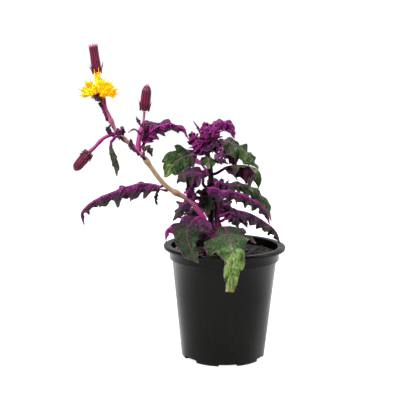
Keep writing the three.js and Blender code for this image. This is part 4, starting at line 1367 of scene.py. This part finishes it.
# ---- pot and potting mix ---------------------------------------------------------------------
@dataclass
class NurseryPot:
    """Round injection-moulded nursery pot with lip, stacking collar and drain notches."""

    height: float = 98.0
    rim_radius: float = 52.5
    lip: float = 3.0
    collar_radius: float = 47.3
    collar_bottom: float = 86.5
    wall_top_radius: float = 45.0
    wall_foot_radius: float = 36.2
    wall: float = 1.4
    corner: float = 2.5
    notch_count: int = 6
    notch_deg: float = 27.0
    notch_height: float = 3.0
    notch_below: float = 2.0
    notch_inner: float = 30.5
    notch_turn_deg: float = -83.0
    steps: int = 240
    sharp_deg: float = 35.0

    def build(self) -> None:
        """Builds the pot as one spun shell with six notches cut through its bottom corner."""
        mesh = bmesh.new()
        self._spin(mesh)
        pot = finish_piece(mesh, "pot_shell", [MouldedPot().material()], ("pot",),
                           self.sharp_deg)
        self._cut_notches(pot)

    def _outline(self) -> list[tuple[float, float]]:
        """Half section of the pot as (radius, height) in millimetres, outside then inside."""
        foot, top = self.wall_foot_radius, self.wall_top_radius
        ledge, lip_low = self.collar_bottom, self.height - self.lip
        return [
            (0.0, 0.0), (20, 0.0), (foot - 2.2, 0.0), (foot - 1.1, 0.25), (foot - 0.4, 0.9),
            (foot, self.corner), (lerp(foot, top, 0.33), lerp(self.corner, ledge - 1, 0.33)),
            (lerp(foot, top, 0.66), lerp(self.corner, ledge - 1, 0.66)), (top, ledge - 1.2),
            (top + 0.4, ledge - 0.7), (self.collar_radius - 0.7, ledge - 0.3),
            (self.collar_radius - 0.2, ledge + 0.1), (self.collar_radius, ledge + 0.8),
            (self.collar_radius + 0.1, lip_low - 0.8), (self.collar_radius + 0.6, lip_low - 0.1),
            (self.rim_radius - 1.0, lip_low), (self.rim_radius - 0.3, lip_low + 0.2),
            (self.rim_radius, lip_low + 0.8), (self.rim_radius, self.height - 1.0),
            (self.rim_radius - 0.35, self.height - 0.3), (self.rim_radius - 1.1, self.height),
            (self.collar_radius - self.wall + 1.0, self.height),
            (self.collar_radius - self.wall + 0.2, self.height - 0.3),
            (self.collar_radius - self.wall, self.height - 1.1),
            (self.collar_radius - self.wall, ledge + 0.3),
            (top - self.wall, ledge - 1.8),
            (lerp(foot, top, 0.5) - self.wall, lerp(self.corner, ledge, 0.5)),
            (foot - self.wall, self.corner + 0.5), (foot - self.wall - 1.2, self.wall),
            (20, self.wall), (0.0, self.wall),
        ]

    def _spin(self, mesh: bmesh.types.BMesh) -> None:
        """Spins the half section a full turn.

        Args:
            mesh: Empty mesh that takes the shell.
        """
        points = [mesh.verts.new((radius * MM, 0, height * MM))
                  for radius, height in self._outline()]
        edges = [mesh.edges.new(pair) for pair in zip(points, points[1:])]
        bmesh.ops.spin(mesh, geom=points + edges, cent=(0, 0, 0), axis=(0, 0, 1),
                       angle=FULL_TURN, steps=self.steps, use_merge=True)
        bmesh.ops.remove_doubles(mesh, verts=mesh.verts, dist=1e-7)
        bmesh.ops.recalc_face_normals(mesh, faces=mesh.faces)

    def _cut_notches(self, pot: bpy.types.Object) -> None:
        """Cuts the drain notches with one cutter of six blocks.

        Args:
            pot: The spun pot.
        """
        mesh = bmesh.new()
        for n in range(self.notch_count):
            middle = math.radians(self.notch_turn_deg + 360 * n / self.notch_count)
            half = math.radians(self.notch_deg / 2)
            low = [mesh.verts.new((self.notch_inner * MM, 0, -self.notch_below * MM)),
                   mesh.verts.new((self.rim_radius * MM, 0, -self.notch_below * MM)),
                   mesh.verts.new((self.rim_radius * MM, 0, self.notch_height * MM)),
                   mesh.verts.new((self.notch_inner * MM, 0, self.notch_height * MM))]
            section = mesh.faces.new(low)
            bmesh.ops.rotate(mesh, cent=(0, 0, 0), verts=low,
                             matrix=Matrix.Rotation(middle - half, 3, "Z"))
            bmesh.ops.spin(mesh, geom=[section], cent=(0, 0, 0), axis=(0, 0, 1),
                           angle=2 * half, steps=12)
        bmesh.ops.recalc_face_normals(mesh, faces=mesh.faces)
        cutter = place_mesh(mesh, "notch_cutter")
        cut = pot.modifiers.new("drain_notches", "BOOLEAN")
        cut.operation, cut.solver, cut.object = "DIFFERENCE", "EXACT", cutter
        bpy.context.view_layer.update()
        cut_pot = pot.evaluated_get(bpy.context.evaluated_depsgraph_get())
        result = bpy.data.meshes.new_from_object(cut_pot)
        pot.modifiers.remove(cut)
        pot.data = result
        result.shade_smooth()
        result.set_sharp_from_angle(angle=math.radians(self.sharp_deg))
        bpy.data.objects.remove(cutter)


@dataclass
class PottingMix:
    """Peat mix that fills the pot: a lumpy surface, loose crumbs and a few pale grains."""

    top: float = 91.0
    radius: float = 45.4
    foot: float = 89.0
    rings: tuple[float, ...] = (0.03, 0.05, 0.06, 0.07, 0.08, 0.09, 0.1, 0.12, 0.14, 0.17, 0.2)
    ring_share: float = 0.45
    crumbs: int = 420
    grains: tuple[tuple[float, float], ...] = (
        (-20, -17), (-20.5, -9), (-11, -17), (-15, -24), (-27, -5), (-42, 10))

    def build(self) -> None:
        """Builds the mix and the grains."""
        finish = PottingMixFinish().material()
        mesh = bmesh.new()
        bmesh.ops.create_circle(mesh, cap_ends=True, segments=96, radius=self.radius * MM)
        disc = list(mesh.faces)
        for share in self.rings:
            step = share * self.ring_share * self.radius
            bmesh.ops.inset_region(mesh, faces=disc, thickness=step * MM, depth=0.0)
        for vert in mesh.verts:
            place = vert.co / MM
            lump = noise.noise(place * 0.09) * 1.4 + noise.noise(place * 0.35) * 0.9
            vert.co.z = (self.top + lump * 0.6) * MM
        rim = [edge for edge in mesh.edges if edge.is_boundary]
        skirt = bmesh.ops.extrude_edge_only(mesh, edges=rim)["geom"]
        lower = [item for item in skirt if isinstance(item, bmesh.types.BMVert)]
        for vert in lower:
            vert.co.z = self.foot * MM
        bmesh.ops.holes_fill(mesh, edges=[e for e in mesh.edges if e.is_boundary], sides=0)
        bmesh.ops.recalc_face_normals(mesh, faces=mesh.faces)
        dice = random.Random(11)
        for _ in range(self.crumbs):
            turn, reach = dice.uniform(0, FULL_TURN), self.radius * math.sqrt(dice.random())
            reach = min(reach, self.radius - 2.2)
            size = dice.uniform(0.6, 2.0)
            shape = (Matrix.Translation(Vector((reach * math.cos(turn), reach * math.sin(turn),
                                                self.top + dice.uniform(-0.4, 0.5))) * MM)
                     @ Matrix.Rotation(dice.uniform(0, 6), 4, "Z")
                     @ Matrix.Rotation(dice.uniform(-0.6, 0.6), 4, "X")
                     @ Matrix.Diagonal((dice.uniform(0.7, 2.0), 1.0, dice.uniform(0.4, 0.8), 1)))
            bmesh.ops.create_icosphere(mesh, subdivisions=1, radius=size * MM, matrix=shape)
        finish_piece(mesh, "peat_surface", [finish], ("potting_mix",), 40.0)
        self._grains()

    def _grains(self) -> None:
        """Builds the pale grains that lie on the mix."""
        mesh = bmesh.new()
        dice = random.Random(3)
        for x, y in self.grains:
            size = dice.uniform(0.9, 1.4)
            place = Matrix.Translation(Vector((x, y, self.top + size + 0.2)) * MM)
            made = bmesh.ops.create_icosphere(
                mesh, subdivisions=3, radius=size * MM,
                matrix=place @ Matrix.Diagonal((1.2, 0.95, 0.8, 1)))
            for vert in made["verts"]:
                vert.co += (vert.co - place.translation) * 0.3 * noise.noise(vert.co * 900)
        names = tuple(f"perlite_grain_{n + 1}" for n in range(len(self.grains)))
        finish_piece(mesh, "pale_grains", [GrainFinish().material()], names, 60.0)


# ---- studio ----------------------------------------------------------------------------------
@dataclass
class Studio:
    """White high-key studio: pale floor, soft lights and the camera."""

    distance: float = 800.0
    eye_height: float = 258.0
    eye_shift: float = -14.6
    pitch_deg: float = 9.11
    roll_deg: float = 0.74
    lens: float = 81.87
    aim: Point = (-0.03, 0, 0.13)
    lights: tuple[tuple[str, Point, float, float], ...] = (  # name, metres, side, watts
        ("key_left", (-0.7, -0.8, 1.1), 0.2, 34), ("side_right", (1.1, -0.1, 0.5), 0.5, 5),
        ("top_back", (0.1, 0.4, 1.3), 0.35, 16))

    def build(self) -> None:
        """Builds floor, sky, lights and camera."""
        self._floor()
        self._sky()
        for light in self.lights:
            self._light(*light)
        self._camera()

    @staticmethod
    def _floor() -> None:
        """Lays the pale floor, which is seen but throws no light back up at the plant."""
        mesh = bmesh.new()
        bmesh.ops.create_grid(mesh, x_segments=1, y_segments=1, size=6.0,
                              matrix=Matrix.Translation((0, 0, -0.0003)))
        floor = place_mesh(mesh, "floor", [FloorPaper().material()])
        floor.visible_diffuse = False

    @staticmethod
    def _sky() -> None:
        """Lights the scene from a white surround, darker in front, overhead and below."""
        world = bpy.data.worlds.new("studio_surround")
        world.use_nodes = True
        bpy.context.scene.world = world
        shade = Shade(world.node_tree)
        way = shade.add("TexCoord", out="Generated")
        strength = Signal(shade, shade.add("Value").socket)
        strength.socket.default_value = 1.0
        for axis, low, high, to_low, to_high in (
                ("Y", -0.35, 0.2, 0.03, 0.75), ("Z", 0.3, 0.7, 1.0, 0.35),
                ("X", -0.9, 0.9, 0.65, 1.3), ("Z", -0.25, 0.05, 0.12, 1.0)):
            along = shade.add("SeparateXYZ", way, out=axis)
            strength *= shade.add("MapRange", along, low, high, to_low, to_high, **EASED)
        seen = shade.add("LightPath", out="Is Camera Ray") * 1.05
        backdrop = world.node_tree.nodes["Background"]
        backdrop.inputs["Color"].default_value = (1, 1, 1, 1)
        shade.feed(backdrop.inputs["Strength"],
                   shade.add("Math", strength, seen, operation="MAXIMUM"))

    def _light(self, name: str, spot: Point, size: float, power: float) -> None:
        """Hangs one soft square light that points at the plant.

        Args:
            name: Name of the light.
            spot: Its place, metres.
            size: Side of the square, metres.
            power: Watts.
        """
        lamp = bpy.data.lights.new(name, "AREA")
        lamp.shape, lamp.size, lamp.energy = "SQUARE", size, power
        holder = place(name, lamp)
        holder.location = spot
        way = Vector(self.aim) - Vector(spot)
        holder.rotation_euler = way.to_track_quat("-Z", "Y").to_euler()

    def _camera(self) -> None:
        """Places the camera in front of the pot, a little above the leaves."""
        lens = bpy.data.cameras.new("camera")
        lens.lens, lens.sensor_width = self.lens, 36.0
        lens.clip_start, lens.clip_end = 0.05, 20.0
        eye = place("camera", lens)
        pitch, roll = math.radians(self.pitch_deg), math.radians(self.roll_deg)
        forward = Vector((0, math.cos(pitch), -math.sin(pitch)))
        up = Vector((0, math.sin(pitch), math.cos(pitch)))
        right = Vector((1, 0, 0))
        right, up = (right * math.cos(roll) + up * math.sin(roll),
                     up * math.cos(roll) - right * math.sin(roll))
        turn = Matrix((right, up, -forward)).transposed().to_4x4()
        spot = Matrix.Translation(Vector((self.eye_shift, -self.distance, self.eye_height)) * MM)
        eye.matrix_world = spot @ turn
        bpy.context.scene.camera = eye


def main() -> None:
    """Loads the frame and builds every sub-assembly."""
    logging.basicConfig(level=logging.INFO, format="%(name)s: %(message)s")
    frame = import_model()
    bpy.context.scene.view_settings.view_transform = "Standard"
    slots = {part["node"]: part["material_slot"] for part in frame["record"]["subparts"]}
    for assembly in (Studio(), NurseryPot(), PottingMix(), Stems(), FlowerHeads()):
        assembly.build()
    stalk = HairyStem("leaf_stalk_hairy", "#3a1030", "#8a2c78", "#3a1030", "#8a2c78")
    finishes = [finish.material() for finish in (VelvetLeaf(), VelvetUnderside(), stalk)]
    for leaf in LEAVES:
        leaf.build(finishes, slots[leaf.node])


if __name__ == "__main__":
    main()
